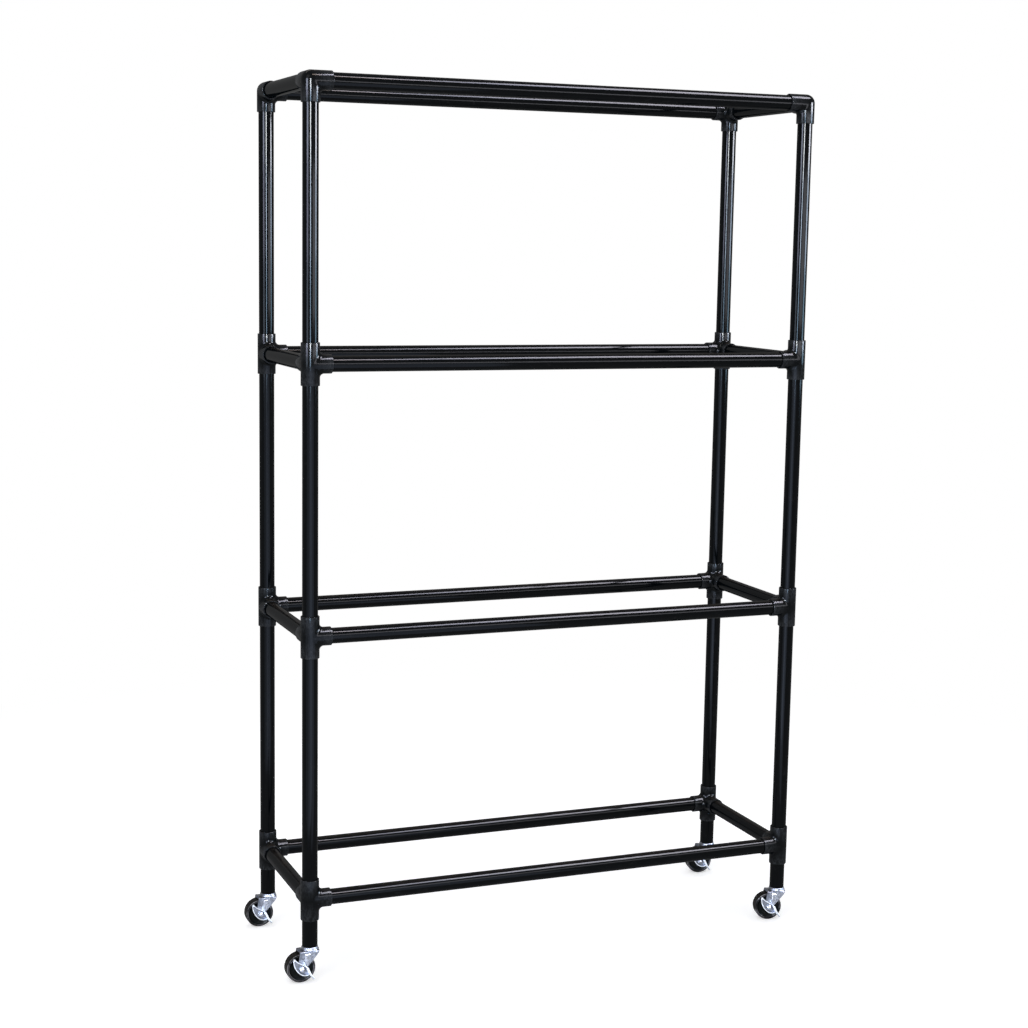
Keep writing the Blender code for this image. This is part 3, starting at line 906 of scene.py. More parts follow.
@dataclass
class Pipework:
    """The posts, legs, rails and rungs, all cut from one size of pipe."""

    radius: float = 0.0167
    bore_radius: float = 0.0133
    end_round: float = 0.0006
    sides: int = 64
    seat: float = 0.0193
    finish: PipeFinish = field(default_factory=PipeFinish)

    def __post_init__(self) -> None:
        """Makes one material for each way a pipe runs."""
        self.materials = {axis: self.finish.material(axis) for axis in Axis}

    def tube(self, length: float) -> Form:
        """A pipe along +Z from the origin.

        Args:
            length: Its length.

        Returns:
            The pipe, open right through, with its outer end edges eased.
        """
        ease = self.end_round
        profile = [
            (self.bore_radius, 0),
            (self.radius - ease, 0),
            (self.radius, ease),
            (self.radius, length - ease),
            (self.radius - ease, length),
            (self.bore_radius, length),
        ]
        return Form.lathe(profile, self.sides, ring=True)

    def run(self, name: str, axis: Axis, start: Vector, length: float, *nodes: str) -> bpy.types.Object:
        """Cuts a pipe to length and puts it in the rack.

        Args:
            name: The piece's name.
            axis: The way it runs.
            start: The middle of its lower, left or front end.
            length: Its length.
            nodes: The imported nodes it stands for.

        Returns:
            The pipe.
        """
        turned = Matrix.Translation(start) @ axis_matrix(axis.value)
        made = self.tube(length).transform(turned).piece(name, self.materials[axis])
        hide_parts(*nodes)
        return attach(made, "frame")

    def stands_for(self, node: str, axis: Axis) -> bpy.types.Object:
        """Replaces one packed pipe by a smooth one.

        Args:
            node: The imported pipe.
            axis: The way it runs.

        Returns:
            The smooth pipe.
        """
        low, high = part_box(node)
        middle = (low + high) / 2
        index = list(Axis).index(axis)
        start = middle.copy()
        start[index] = low[index]
        return self.run(f"{node}_pipe", axis, start, high[index] - low[index], node)


@dataclass
class Fitting:
    """A moulded fitting: equal round outlets with rolled crotches and a stepped socket in each."""

    radius: float = 0.0199
    reach: float = 0.0445
    socket_radius: float = 0.0170
    socket_depth: float = 0.0255
    mouth_round: float = 0.0007
    mouth_chamfer: float = 0.0004
    crotch_radius: float = 0.0100
    crotch_steps: int = 8
    crotch_bend: float = 9.0
    sharp_from: float = 50.0
    sides: int = 48
    finish: FittingFinish = field(default_factory=FittingFinish)

    def __post_init__(self) -> None:
        """Moulds the two kinds of fitting once."""
        self.material = self.finish.material()
        tee: list[Outlet] = [(0, 0, -1), (1, 0, 0), (0, 1, 0), (0, 0, 1)]
        self.tee = self.moulded(tee)
        self.elbow = self.moulded(tee[:3])

    def body(self, outlets: Sequence[Outlet]) -> Form:
        """Round arms cut back to the planes midway between them.

        Args:
            outlets: The directions of the arms. Three leave a corner, which a piece of a ball closes.

        Returns:
            The closed body.
        """
        whole = Form(bmesh.new())
        for outlet in outlets:
            arm = Form.cylinder(self.radius, 0, self.reach, self.sides, outlet)
            inner_cap = min(arm.bm.faces, key=lambda face: face.calc_center_median().dot(Vector(outlet)))
            arm.bm.faces.remove(inner_cap)
            for other in outlets:
                if other != outlet:
                    arm.clip(Vector(other) - Vector(outlet))
            whole.add(arm)
        if len(outlets) == 3:
            octant = Form.ball(self.radius, self.sides)
            for outlet in outlets:
                octant.clip(Vector(outlet))
            whole.add(octant)
        return whole.close_seams(MITRE_MERGE)

    def rolled(self, body: Form) -> Form:
        """Rolls a fillet of one radius along the crotches.

        Args:
            body: The body with sharp crotches.

        Returns:
            The filleted body.
        """
        weight = body.bm.edges.layers.float.new("bevel_weight_edge")
        for edge in body.bm.edges:
            bend = -edge.calc_face_angle_signed(0.0)
            if bend > math.radians(self.crotch_bend):
                edge[weight] = min(math.tan(bend / 2), 1.0)
        helper = body.piece("helper", None)
        bevel = helper.modifiers.new("crotch", "BEVEL")
        bevel.width = self.crotch_radius
        bevel.segments = self.crotch_steps
        bevel.limit_method = "WEIGHT"
        bevel.use_clamp_overlap = False
        rolled = Form(evaluated(helper))
        bpy.data.objects.remove(helper)
        return rolled

    def socketed(self, body: Form, outlet: Outlet) -> Form:
        """Rounds one mouth and sinks its socket.

        Args:
            body: The body.
            outlet: The direction of the mouth.

        Returns:
            The same body.
        """
        way = Vector(outlet)
        mouth = max(body.bm.faces, key=lambda face: face.normal.dot(way) * face.calc_area())
        body.bevel(mouth.edges, self.mouth_round, 3)
        mouth = max(body.bm.faces, key=lambda face: face.normal.dot(way) * face.calc_area())
        flat = math.cos(math.pi / self.sides)
        wall = (self.radius - self.mouth_round - self.socket_radius - self.mouth_chamfer) * flat
        bmesh.ops.inset_region(body.bm, faces=[mouth], thickness=wall)
        bmesh.ops.inset_region(body.bm, faces=[mouth], thickness=self.mouth_chamfer * flat)
        bmesh.ops.translate(body.bm, vec=way * -self.mouth_chamfer, verts=mouth.verts)
        sunk = bmesh.ops.extrude_face_region(body.bm, geom=[mouth])["geom"]
        moved = [item for item in sunk if isinstance(item, bmesh.types.BMVert)]
        bmesh.ops.translate(body.bm, vec=way * -(self.socket_depth - self.mouth_chamfer), verts=moved)
        if mouth.is_valid:
            bmesh.ops.delete(body.bm, geom=[mouth], context="FACES_ONLY")
        return body

    def moulded(self, outlets: Sequence[Outlet]) -> Form:
        """A whole fitting round its centre.

        Args:
            outlets: The directions of its outlets.

        Returns:
            The fitting.
        """
        body = self.rolled(self.body(outlets))
        for outlet in outlets:
            self.socketed(body, outlet)
        bmesh.ops.recalc_face_normals(body.bm, faces=body.bm.faces)
        return body

    def build(self, name: str, centre: Vector, turn: int, top: bool, node: str) -> bpy.types.Object:
        """Puts a fitting in the rack.

        Args:
            name: The piece's name.
            centre: Its centre.
            turn: How many quarter turns its side outlets make from +X and +Y.
            top: Whether it is an elbow of the top shelf.
            node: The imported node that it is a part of.

        Returns:
            The fitting.
        """
        kind = self.elbow if top else self.tee
        placed = Matrix.Translation(centre) @ Matrix.Rotation(turn * math.pi / 2, 4, "Z")
        made = kind.copy().transform(placed).piece(name, self.material, self.sharp_from)
        rim = self.reach - self.mouth_round * 1.5
        # Marks the mouth rims, which the finish lightens by rubbing and a painted highlight.
        paint(made, "rim", lambda point: float(max(abs(c) for c in point - centre) > rim))
        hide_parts(node)
        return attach(made, "frame")


@dataclass
class Rack:
    """The frame: four posts, four shelves, and the fittings that join them."""

    pipework: Pipework = field(default_factory=Pipework)
    fitting: Fitting = field(default_factory=Fitting)

    def posts(self) -> list[bpy.types.Object]:
        """The legs and the post pipes over them.

        Returns:
            The pipes, corner by corner.
        """
        names = ("leg", "lower_post", "middle_post", "upper_post")
        nodes = [f"{name}_{corner.value}" for corner in Corner for name in names]
        return [self.pipework.stands_for(node, Axis.Z) for node in nodes]

    def rails(self) -> list[bpy.types.Object]:
        """The front and rear rail of each shelf."""
        nodes = [f"{shelf.value}_{end}_rail" for shelf in Shelf for end in ("front", "rear")]
        return [self.pipework.stands_for(node, Axis.X) for node in nodes]

    def centre(self, shelf: Shelf, end: str, side: str) -> Vector:
        """Where a post's axis meets a rail's axis.

        Args:
            shelf: The shelf.
            end: "front" or "rear".
            side: "left" or "right".

        Returns:
            The fitting's centre.
        """
        post_low, post_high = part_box(f"leg_{end}_{side}")
        rail_low, rail_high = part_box(f"{shelf.value}_{end}_rail")
        post = (post_low + post_high) / 2
        return Vector((post.x, post.y, (rail_low.z + rail_high.z) / 2))

    def end_rungs(self) -> list[bpy.types.Object]:
        """Each shelf's end rungs with the fittings at their ends.

        Returns:
            The rung pipes and the fittings.
        """
        turns = {("front", "left"): 0, ("front", "right"): 1, ("rear", "right"): 2, ("rear", "left"): 3}
        made = []
        for shelf in Shelf:
            for side in ("left", "right"):
                node = f"{shelf.value}_{side}_end_rung"
                front = self.centre(shelf, "front", side)
                rear = self.centre(shelf, "rear", side)
                start = front + Vector((0, self.pipework.seat, 0))
                length = rear.y - front.y - 2 * self.pipework.seat
                made.append(self.pipework.run(f"{node}_pipe", Axis.Y, start, length, node))
                for end, centre in (("front", front), ("rear", rear)):
                    turn = turns[(end, side)]
                    name = f"{shelf.value}_{end}_{side}_fitting"
                    made.append(self.fitting.build(name, centre, turn, shelf is Shelf.TOP, node))
        return made

    def build(self) -> list[bpy.types.Object]:
        """Builds the whole frame."""
        return self.posts() + self.rails() + self.end_rungs()


class Datum(Enum):
    """The point of a castor that a form is drawn about."""

    LEG = "lower end of the leg"
    FLOOR = "floor under the swivel"
    AXLE = "middle of the axle"


@dataclass
class CastorPart:
    """One of a castor's forms, and how it goes into the rack. Its names hold {} for the corner's name."""

    name: str
    node: str
    body: str
    form: Form
    finish: PlatedFinish | WheelFinish
    datum: Datum = Datum.AXLE
    marks: dict[str, Mark] = field(default_factory=dict)
    eased: float = 0.0


@dataclass
class Castor:
    """A swivel castor with a side brake: sizes in its own frame, trailing towards -X."""

    leg_end: float = 0.077
    trail: float = 0.022
    axle_height: float = 0.03175
    axle_radius: float = 0.0040
    fork_half_gap: float = 0.0145
    plate: float = 0.0022
    crown_plate: float = 0.0024
    crown_bend: float = 0.0035
    inner_bend: float = 0.0013
    crown_front: float = 0.01828
    crown_corner: float = 0.007
    raceway_height: float = 0.0074
    kingpin_hole: float = 0.0043
    rolled_lip: float = 0.0027
    rib_height: float = 0.0015
    rib_foot: float = 0.0365
    rib_shine_foot: float = 0.0355
    boss_radius: float = 0.0066
    lever_plate: float = 0.0016
    lever_fence: float = 0.0030
    lever_rim: float = 0.0060
    lever_flare: float = 0.0018
    knob_radius: float = 0.0021
    knob_rise: float = 0.0036
    pedal_plate: float = 0.0018
    pedal_end: float = 0.0338
    bead_width: float = 0.0044
    bead_root: float = 0.0322
    bead_end: float = 0.036
    hex_height: float = 0.00468
    hex_radius: float = 0.0066
    thread_pitch: float = 0.0007
    eased_edge: float = 0.00035
    tread_from: float = 0.0312
    # Radii of the painted highlight rings on the tyre's sides.
    outer_ring: tuple[float, float] = (0.0296, 0.0313)
    inner_ring: tuple[float, float] = (0.0268, 0.0280)
    sharp_from: float = 32.0
    sides: int = 48
    wheel_sides: int = 96
    hole_sides: int = 24
    thread_sides: int = 32
    zinc: PlatedFinish = PlatedFinish("zinc plated steel", "zinc")
    bright: PlatedFinish = PlatedFinish(
        "bright steel", "bright_steel", (0.33, 0.35, 0.39), (0.21, 0.22, 0.25), gloss=0.18
    )
    # A darker, rougher copy of the bright steel for the raceway: painted shade.
    pressed: PlatedFinish = PlatedFinish(
        "worn bright steel", "bright_steel", (0.125, 0.130, 0.145), (0.060, 0.064, 0.076), gloss=0.30
    )
    dull: PlatedFinish = PlatedFinish(
        "bushing steel", "bushing_steel", (0.42, 0.41, 0.40), (0.30, 0.29, 0.28), gloss=0.3
    )
    rubber: WheelFinish = field(default_factory=WheelFinish)
    hub_plastic: WheelFinish = WheelFinish("black wheel core", shine=0.13, shine_roughness=0.22)

    def __post_init__(self) -> None:
        """Works out the sizes that follow from the others, and makes each form and material once."""
        self.fork_outside = self.fork_half_gap + self.plate
        self.crown_top = self.leg_end - self.raceway_height - 2 * FIT_GAP
        self.boss_face = self.fork_outside + self.rib_height
        self.lever_inside = self.boss_face + FIT_GAP
        self.lever_outside = self.lever_inside + self.lever_plate
        self.parts = self.frame_parts() + self.fork_parts() + self.axle_parts()
        finishes = (self.zinc, self.bright, self.pressed, self.dull, self.rubber, self.hub_plastic)
        self.materials = {finish: finish.material() for finish in finishes}

    def frame_parts(self) -> list[CastorPart]:
        """What is fixed in the leg: the stem and the raceway.

        Returns:
            Both parts.
        """
        node = "castor_stem_{}"
        return [
            CastorPart("castor_stem_{}_grip", node, "frame", self.stem(), self.bright, Datum.LEG),
            CastorPart("castor_raceway_{}", node, "frame", self.raceway(), self.pressed, Datum.LEG),
        ]

    def fork_parts(self) -> list[CastorPart]:
        """The fork with the bolt and the nut that hold the axle.

        Returns:
            The three parts.
        """
        body, eased = "castor_swivel_{}", self.eased_edge
        # Painted shade inside the fork and on its lip, and a painted highlight on the rib slopes.
        worn_and_painted_light = {"painted_shade": self.fork_painted_shade, "crest": self.rib_painted_highlight}
        # Painted shade where the nut meets the lever.
        shaded_nut = {"painted_shade": self.nut_painted_shade}
        fork, bolt, nut = self.fork(), self.bolt(), self.nut()
        name = "castor_fork_{}_stamping"
        return [
            CastorPart(name, "castor_fork_{}", body, fork, self.zinc, Datum.FLOOR, worn_and_painted_light, eased),
            CastorPart("axle_bolt_{}_threaded", "axle_bolt_{}", body, bolt, self.bright),
            CastorPart("axle_lock_nut_{}", "axle_nut_{}", body, nut, self.bright, marks=shaded_nut),
        ]

    def axle_parts(self) -> list[CastorPart]:
        """What hangs on the axle: the wheel, the brake lever, and the sleeve in the wheel.

        Returns:
            The four parts.
        """
        node, body, braking = "wheel_{}", "castor_wheel_{}", "castor_brake_{}"
        # Real wear on the tread, and the painted highlight rings.
        rolled = {"tread": self.tread, "ring": self.ring}
        # Painted shade on the lever's web and pedal end, and a painted highlight on its edges.
        worn_and_painted_light = {"painted_shade": self.lever_painted_shade, "crest": self.lever_painted_highlight}
        tyre, core, lever, sleeve = self.tyre(), self.core(), self.lever(), self.bushing()
        name, eased = "brake_lever_{}_stamping", self.eased_edge
        return [
            CastorPart("wheel_tyre_{}", node, body, tyre, self.rubber, marks=rolled),
            CastorPart("wheel_core_{}", node, body, core, self.hub_plastic),
            CastorPart(name, "brake_lever_{}", braking, lever, self.zinc, Datum.AXLE, worn_and_painted_light, eased),
            CastorPart("wheel_sleeve_{}", "wheel_bushing_{}", "castor_swivel_{}", sleeve, self.dull),
        ]

    def stem(self) -> Form:
        """The grip stem with its ring, down to the raceway.

        Returns:
            The stem, from the leg's lower end up.
        """
        profile = [
            (0, -0.0002),
            (0.0055, -0.0002),
            (0.0055, 0.0300),
            (0.0050, 0.0304),
            (0.0050, 0.0330),
            (0.0055, 0.0334),
            (0.0055, 0.0362),
            (0.0048, 0.0376),
            (0.0038, 0.0380),
            (0, 0.0380),
        ]
        return Form.lathe(profile, self.sides)

    def raceway(self) -> Form:
        """The pressed cup with its rolled lip, and the kingpin riveted under the crown.

        Returns:
            The cup and the kingpin, from the leg's lower end down.
        """
        under = -self.raceway_height - 3 * FIT_GAP - self.crown_plate
        lip = arc((0.0189, -0.0066), 0.0009, 60, -90, 5)
        profile = [
            (0, under - 0.0025),
            (0.0052, under - 0.0025),
            (0.0062, under - 0.0019),
            (0.0065, under - 0.0008),
            (0.0065, under),
            (0.0040, under),
            (0.0040, -0.0068),
            (0.0172, -0.0068),
            *lip[::-1],
            (0.0187, -0.0048),
            (0.0181, -0.0030),
            (0.0178, -0.0016),
            (0.0172, -0.0008),
            (0.0162, -0.0003),
            (0, -0.0003),
        ]
        return Form.lathe(profile, self.sides)

    def fork_side(self) -> list[Point]:
        """The fork seen from the side.

        Returns:
            Its outline: crown, slanted front edge and a round end below the axle.
        """
        rear, front = -0.0255, 0.0185
        end = arc((-self.trail - 0.0013, self.axle_height), 0.0082, -40, -172, 14)
        under = self.crown_top - self.crown_plate
        return [(rear, self.crown_top), (front, self.crown_top), (front, under), *end]

    def fork_plan(self) -> list[Point]:
        """The fork seen from above.

        Returns:
            Its outline: open behind and rounded at the front corners.
        """
        behind = -0.06
        centre_x = self.crown_front - self.crown_corner
        centre_y = self.fork_outside - self.crown_corner
        return [
            (behind, -self.fork_outside),
            *arc((centre_x, -centre_y), self.crown_corner, -90, 0, 8),
            *arc((centre_x, centre_y), self.crown_corner, 0, 90, 8),
            (behind, self.fork_outside),
        ]

    def rib(self, side: int) -> Form:
        """A pressed rib on one leg of the fork.

        Args:
            side: 1 for the rear leg and -1 for the front one.

        Returns:
            The rib, rooted inside the leg.
        """
        top, foot = self.crown_top - 0.005, self.rib_foot
        outline = [(-0.0142, top), (-0.0026, top), (-0.0092, foot), (-0.0142, foot)]
        rib = Form.prism(outline, self.fork_outside - self.plate / 2, self.fork_outside - FIT_GAP)
        crest = max(rib.bm.faces, key=lambda face: face.calc_center_median().y)
        for inset, rise in ((0.0003, 0.0006), (0.0011, 0.0008), (0.0004, 0.0004)):
            bmesh.ops.inset_region(rib.bm, faces=[crest], thickness=inset)
            bmesh.ops.translate(rib.bm, vec=(0, rise, 0), verts=crest.verts)
        return rib.transform(Matrix.Diagonal((1, side, 1, 1)))

    def boss(self, side: int) -> Form:
        """The round pressing about the axle hole, on one leg of the fork.

        Args:
            side: 1 for the rear leg and -1 for the front one.

        Returns:
            The pressing, rooted inside the leg.
        """
        centre = (-self.trail, 0, self.axle_height)
        inner = self.fork_outside - self.plate / 2
        boss = Form.cylinder(self.boss_radius, inner, self.boss_face, self.sides, (0, side, 0), centre)
        rim = [e for e in boss.bm.edges if all(abs(v.co.y) > self.boss_face - MERGE for v in e.verts)]
        return boss.bevel(rim, 0.0007, 3)

    def fork(self) -> Form:
        """The stamped fork about the swivel axis, with ribbed legs, rolled lip and holes.

        Returns:
            The fork.
        """
        outside = Form.prism(self.fork_side(), -self.fork_outside, self.fork_outside)
        outside.bevel(outside.folds(self.crown_top), self.crown_bend, 6)
        blank = outside.combine(Cut.COMMON, Form.prism(self.fork_plan(), 0, self.leg_end, upright=True))
        start, length = (-0.0262, -0.0055, self.crown_top + 0.0009), 0.011
        lip = Form.cylinder(self.rolled_lip, 0, length, self.hole_sides, (0, 1, 0), start)
        raised = [self.rib(-1), self.rib(1), self.boss(-1), self.boss(1), lip]
        solid = blank.combine(Cut.JOIN, *raised)
        reach, drill, above = 0.09, 0.05, 0.12
        inner_top = self.crown_top - self.crown_plate
        inside = Form.box((-reach, -self.fork_half_gap, 0), (reach, self.fork_half_gap, inner_top))
        inside.bevel(inside.folds(inner_top), self.inner_bend, 3)
        hole = self.axle_radius + FIT_GAP
        centre = (-self.trail, 0, self.axle_height)
        axle = Form.cylinder(hole, -drill, drill, self.hole_sides, (0, 1, 0), centre)
        kingpin = Form.cylinder(self.kingpin_hole, self.axle_height, above, self.hole_sides)
        return solid.combine(Cut.REMOVE, inside, axle, kingpin)

    def tyre(self) -> Form:
        """The running ring, slightly crowned with round shoulders and a raised line on each side.

        Returns:
            The tyre about the axle.
        """
        inner = (0.0246, 0.0104)
        half = [
            (0.0252, 0.0110),
            (0.0260, 0.0115),
            (0.0266, 0.0117),
            (0.0269, 0.0123),
            (0.0272, 0.0125),
            (0.0276, 0.0125),
            (0.0279, 0.0123),
            (0.0282, 0.0118),
            (0.0290, 0.0117),
            (0.0294, 0.0117),
            (0.0297, 0.0121),
            (0.0301, 0.0121),
            *arc((0.0298, 0.0100), 0.00195, 72, 8, 6),
            (0.03172, 0.0078),
            (0.03175, 0.0040),
        ]
        return Form.lathe(both_sides([inner, *half]), self.wheel_sides, True, (0, 1, 0))

    def core(self) -> Form:
        """The wheel's core: a dished web with a hub boss.

        Returns:
            The core about the axle.
        """
        half = [
            (0.0062, 0.0135),
            (0.0090, 0.0135),
            (0.0095, 0.0130),
            (0.0099, 0.0119),
            (0.0112, 0.0108),
            (0.0130, 0.0104),
            (0.0225, 0.0099),
            (0.0236, 0.0102),
            (0.0243, 0.0107),
            (0.0246, 0.0107),
        ]
        return Form.lathe(both_sides(half), self.wheel_sides, True, (0, 1, 0))

    def bushing(self) -> Form:
        """The sleeve between the fork's legs that the wheel turns on.

        Returns:
            The sleeve about the axle.
        """
        half = self.fork_half_gap - FIT_GAP
        bore = self.axle_radius + FIT_GAP
        outer, ease = 0.0059, 0.0003
        profile = [
            (bore, -half),
            (outer - ease, -half),
            (outer, -half + ease),
            (outer, half - ease),
            (outer - ease, half),
            (bore, half),
        ]
        return Form.lathe(profile, self.sides, True, (0, 1, 0))

    def hexagon(self, start: float, end: float, direction: Sequence[float]) -> Form:
        """A hexagonal head whose outer corners are turned off.

        Args:
            start: Where it begins.
            end: Where it ends.
            direction: Which way it points.

        Returns:
            The head.
        """
        head = Form.cylinder(self.hex_radius, start, end, 6, direction)
        spare, slope, shoulder = 0.001, 0.0013, 0.0024
        profile = [
            (0, start - spare),
            (self.hex_radius + spare, start - spare),
            (self.hex_radius + spare, end - shoulder),
            (self.hex_radius - slope, end),
            (0, end),
        ]
        return head.combine(Cut.COMMON, Form.lathe(profile, self.sides, False, direction))

    def bolt(self) -> Form:
        """The axle bolt, head at the rear and its threaded end through the lever at the front.

        Returns:
            The bolt about the axle.
        """
        head_start = self.boss_face + FIT_GAP
        rooted = head_start + 0.001
        shank_end = self.lever_outside + self.hex_height + 4 * FIT_GAP + self.axle_radius / 2
        thread_start = self.lever_inside - 0.002
        point, root = self.axle_radius - 0.0009, self.axle_radius - 0.0004
        turns = int((shank_end - 0.0006 - thread_start) / self.thread_pitch)
        profile = [(0, -shank_end), (point, -shank_end)]
        for turn in range(turns, -1, -1):
            height = thread_start + turn * self.thread_pitch
            profile.append((root, -height - self.thread_pitch / 2))
            profile.append((self.axle_radius, -height))
        profile += [(self.axle_radius, rooted), (0, rooted)]
        shank = Form.lathe(profile, self.thread_sides, False, (0, 1, 0))
        head = self.hexagon(head_start, head_start + self.hex_height, (0, 1, 0))
        return head.combine(Cut.JOIN, shank)

    def bore(self) -> Form:
        """The hole through the nut and the lever."""
        return Form.cylinder(self.axle_radius + FIT_GAP, 0, 0.05, self.thread_sides, (0, -1, 0))

    def nut(self) -> Form:
        """The lock nut outside the brake lever, with its round collar.

        Returns:
            The nut about the axle.
        """
        start = self.lever_outside + FIT_GAP
        body = self.hexagon(start, start + self.hex_height - 0.0009, (0, -1, 0))
        rooted, top = start + 0.001, start + self.hex_height
        profile = [(0, rooted), (0.0054, rooted), (0.0054, top - 0.0005), (0.0050, top), (0, top)]
        collar = Form.lathe(profile, self.thread_sides, False, (0, -1, 0))
        return body.combine(Cut.JOIN, collar).combine(Cut.REMOVE, self.bore())

    def lever(self) -> Form:
        """The stamped brake lever in one piece: web, flared rim, fence, knob, and pedal with its bead.

        Returns:
            The lever about the axle.
        """
        tip, foot = (-0.0197, 0.0235), (0.0150, -0.0097)
        edge = swept(tip, (-0.0205, 0.0060), (-0.0025, -0.0175), foot, 30)
        pedal_path = [(0.0068, 0.0070), (0.0130, -0.0068), (0.0206, -0.0168)]
        bead_path = [(0.0058, 0.0062), (0.0120, -0.0075), (0.0178, -0.0152), (0.0194, -0.0173)]
        shoulder = [
            pedal_path[0],
            (0.0032, 0.0104),
            (-0.0030, 0.0140),
            (-0.0100, 0.0182),
            (-0.0163, 0.0243),
        ]
        inside, outside = -self.lever_inside, -self.lever_outside
        web = Form.prism(edge + [pedal_path[1]] + shoulder, outside, inside)
        fence = Form.prism(strip(shoulder, self.lever_plate), outside - self.lever_fence, inside)
        place = (-0.01765, 0, 0.0238)
        knob_end = -outside + self.knob_rise
        knob = Form.cylinder(self.knob_radius, -inside, knob_end, self.hole_sides, (0, -1, 0), place)
        rim_edge = outside - self.lever_rim
        rim = Form.prism(strip(edge, self.lever_plate), rim_edge, inside)
        away = beside(tip, foot) * self.lever_flare
        outer = [vert for vert in rim.bm.verts if vert.co.y < rim_edge + MERGE]
        bmesh.ops.translate(rim.bm, vec=(away.x, 0, away.y), verts=outer)
        pedal = Form.prism(strip(pedal_path, self.pedal_plate), -self.pedal_end, inside)
        bead = Form.prism(tongue(bead_path, self.bead_width), -self.bead_end, -self.bead_root)
        return web.combine(Cut.JOIN, rim, fence, knob, pedal, bead).combine(Cut.REMOVE, self.bore())

    def fork_painted_shade(self, point: Vector) -> float:
        """Painted shade inside the fork and on its rolled lip.

        Args:
            point: A point in the fork's frame.

        Returns:
            1 where the painted shade is full and 0 where the zinc has none.
        """
        inside = abs(point.y) < self.fork_half_gap + 0.0005 and point.z < self.crown_top - 0.002
        lip = point.x < -0.0200 and point.z > self.crown_top - 0.0040
        return 1.0 if inside or lip else 0.0

    def rib_painted_highlight(self, point: Vector) -> float:
        """A painted highlight on the slopes of a pressed rib.

        Args:
            point: A point in the fork's frame.

        Returns:
            1 on the slopes, less on the rib's top, and 0 off the rib.
        """
        raised = abs(point.y) - self.fork_outside
        if point.z < self.rib_shine_foot or raised < 0.0002:
            return 0.0
        return 0.2 if raised > self.rib_height - 0.0003 else 1.0

    def nut_painted_shade(self, point: Vector) -> float:
        """Painted shade where the nut meets the lever."""
        return 0.7 * float(point.y > -self.lever_outside - 0.001)

    def lever_painted_shade(self, point: Vector) -> float:
        """Painted shade on the lever's web, behind its flared rim, and on the end of the pedal.

        Args:
            point: A point in the lever's frame.

        Returns:
            1 where the painted shade is full and 0 where the zinc has none.
        """
        if point.y < -0.028 and point.z < -0.0166:
            return 1.0
        return 0.5 if point.y > -self.lever_outside - 0.0004 and point.x < 0.006 else 0.0

    def lever_painted_highlight(self, point: Vector) -> float:
        """A painted highlight on the edges of the lever's rim and pedal."""
        return 0.8 * float(point.y < -self.lever_outside - 0.0015)

    def tread(self, point: Vector) -> float:
        """The part of the tyre that rolls on the floor."""
        return float(math.hypot(point.x, point.z) > self.tread_from)

    def ring(self, point: Vector) -> float:
        """The two light rings on each side of the tyre: a painted highlight on its raised lines.

        Args:
            point: A point in the wheel's frame.

        Returns:
            1 on the outer ring, less on the inner one and otherwise 0.
        """
        radius = math.hypot(point.x, point.z)
        if self.outer_ring[0] < radius < self.outer_ring[1]:
            return 1.0
        return 0.7 if self.inner_ring[0] < radius < self.inner_ring[1] else 0.0

    def put(self, part: CastorPart, at: str, place: Matrix) -> bpy.types.Object:
        """Puts one of the castor's parts in the rack.

        Args:
            part: The part.
            at: The corner's name.
            place: Where the part's datum is, and how the part is turned.

        Returns:
            The piece.
        """
        node, slot, body = part.node.format(at), part.finish.slot, part.body.format(at)
        form = part.form.copy().transform(place)
        made = form.piece(part.name.format(at), self.materials[part.finish], self.sharp_from)
        local = place.inverted()
        for mark, test in part.marks.items():
            paint(made, mark, lambda point: test(local @ point))
        if part.eased:
            eased_edges(made, part.eased)
        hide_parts(node)
        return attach(made, body)

    def build(self, corner: Corner) -> list[bpy.types.Object]:
        """Builds the castor of one corner.

        Args:
            corner: The corner.

        Returns:
            Its pieces.
        """
        joints = {joint["name"]: joint for joint in frame["joints"]}
        swivel = Vector(joints[f"swivel_{corner.value}"]["pos_m"])
        spin = joints[f"wheel_spin_{corner.value}"]
        axis = Vector(spin["axis"])
        turn = Matrix.Rotation(math.atan2(-axis.x, axis.y), 4, "Z")
        places = {
            Datum.LEG: Matrix.Translation((swivel.x, swivel.y, self.leg_end)),
            Datum.FLOOR: Matrix.Translation((swivel.x, swivel.y, 0)) @ turn,
            Datum.AXLE: Matrix.Translation(spin["pos_m"]) @ turn,
        }
        return [self.put(part, corner.value, places[part.datum]) for part in self.parts]


@dataclass(frozen=True)
class Softbox:
    """A plain rectangular lamp that faces the rack."""

    name: str
    bearing: float
    elevation: float
    distance: float
    width: float
    tall: float
    radiance: float
    colour: Colour = (1.0, 1.0, 1.0)
    sheen_only: bool = True
    target_height: float = 1.35

    def build(self, camera_bearing: float, middle: Vector) -> bpy.types.Object:
        """Hangs the lamp.

        Args:
            camera_bearing: The camera's bearing from the rack, in degrees from -Y towards +X.
            middle: The middle of the rack on the floor.

        Returns:
            The lamp.
        """
        lamp = bpy.data.lights.new(self.name, "AREA")
        lamp.shape = "RECTANGLE"
        lamp.size = self.width
        lamp.size_y = self.tall
        lamp.energy = self.radiance * self.width * self.tall * math.pi
        lamp.color = self.colour
        made = bpy.data.objects.new(self.name, lamp)
        bearing = math.radians(camera_bearing + self.bearing)
        elevation = math.radians(self.elevation)
        level = self.distance * math.cos(elevation)
        rise = self.distance * math.sin(elevation)
        away = Vector((level * math.sin(bearing), -level * math.cos(bearing), rise))
        made.location = middle + Vector((0, 0, self.target_height)) + away
        made.rotation_euler = (-away).to_track_quat("-Z", "Y").to_euler()
        made.visible_diffuse = not self.sheen_only
        made.visible_camera = False
        bpy.context.scene.collection.objects.link(made)
        return made


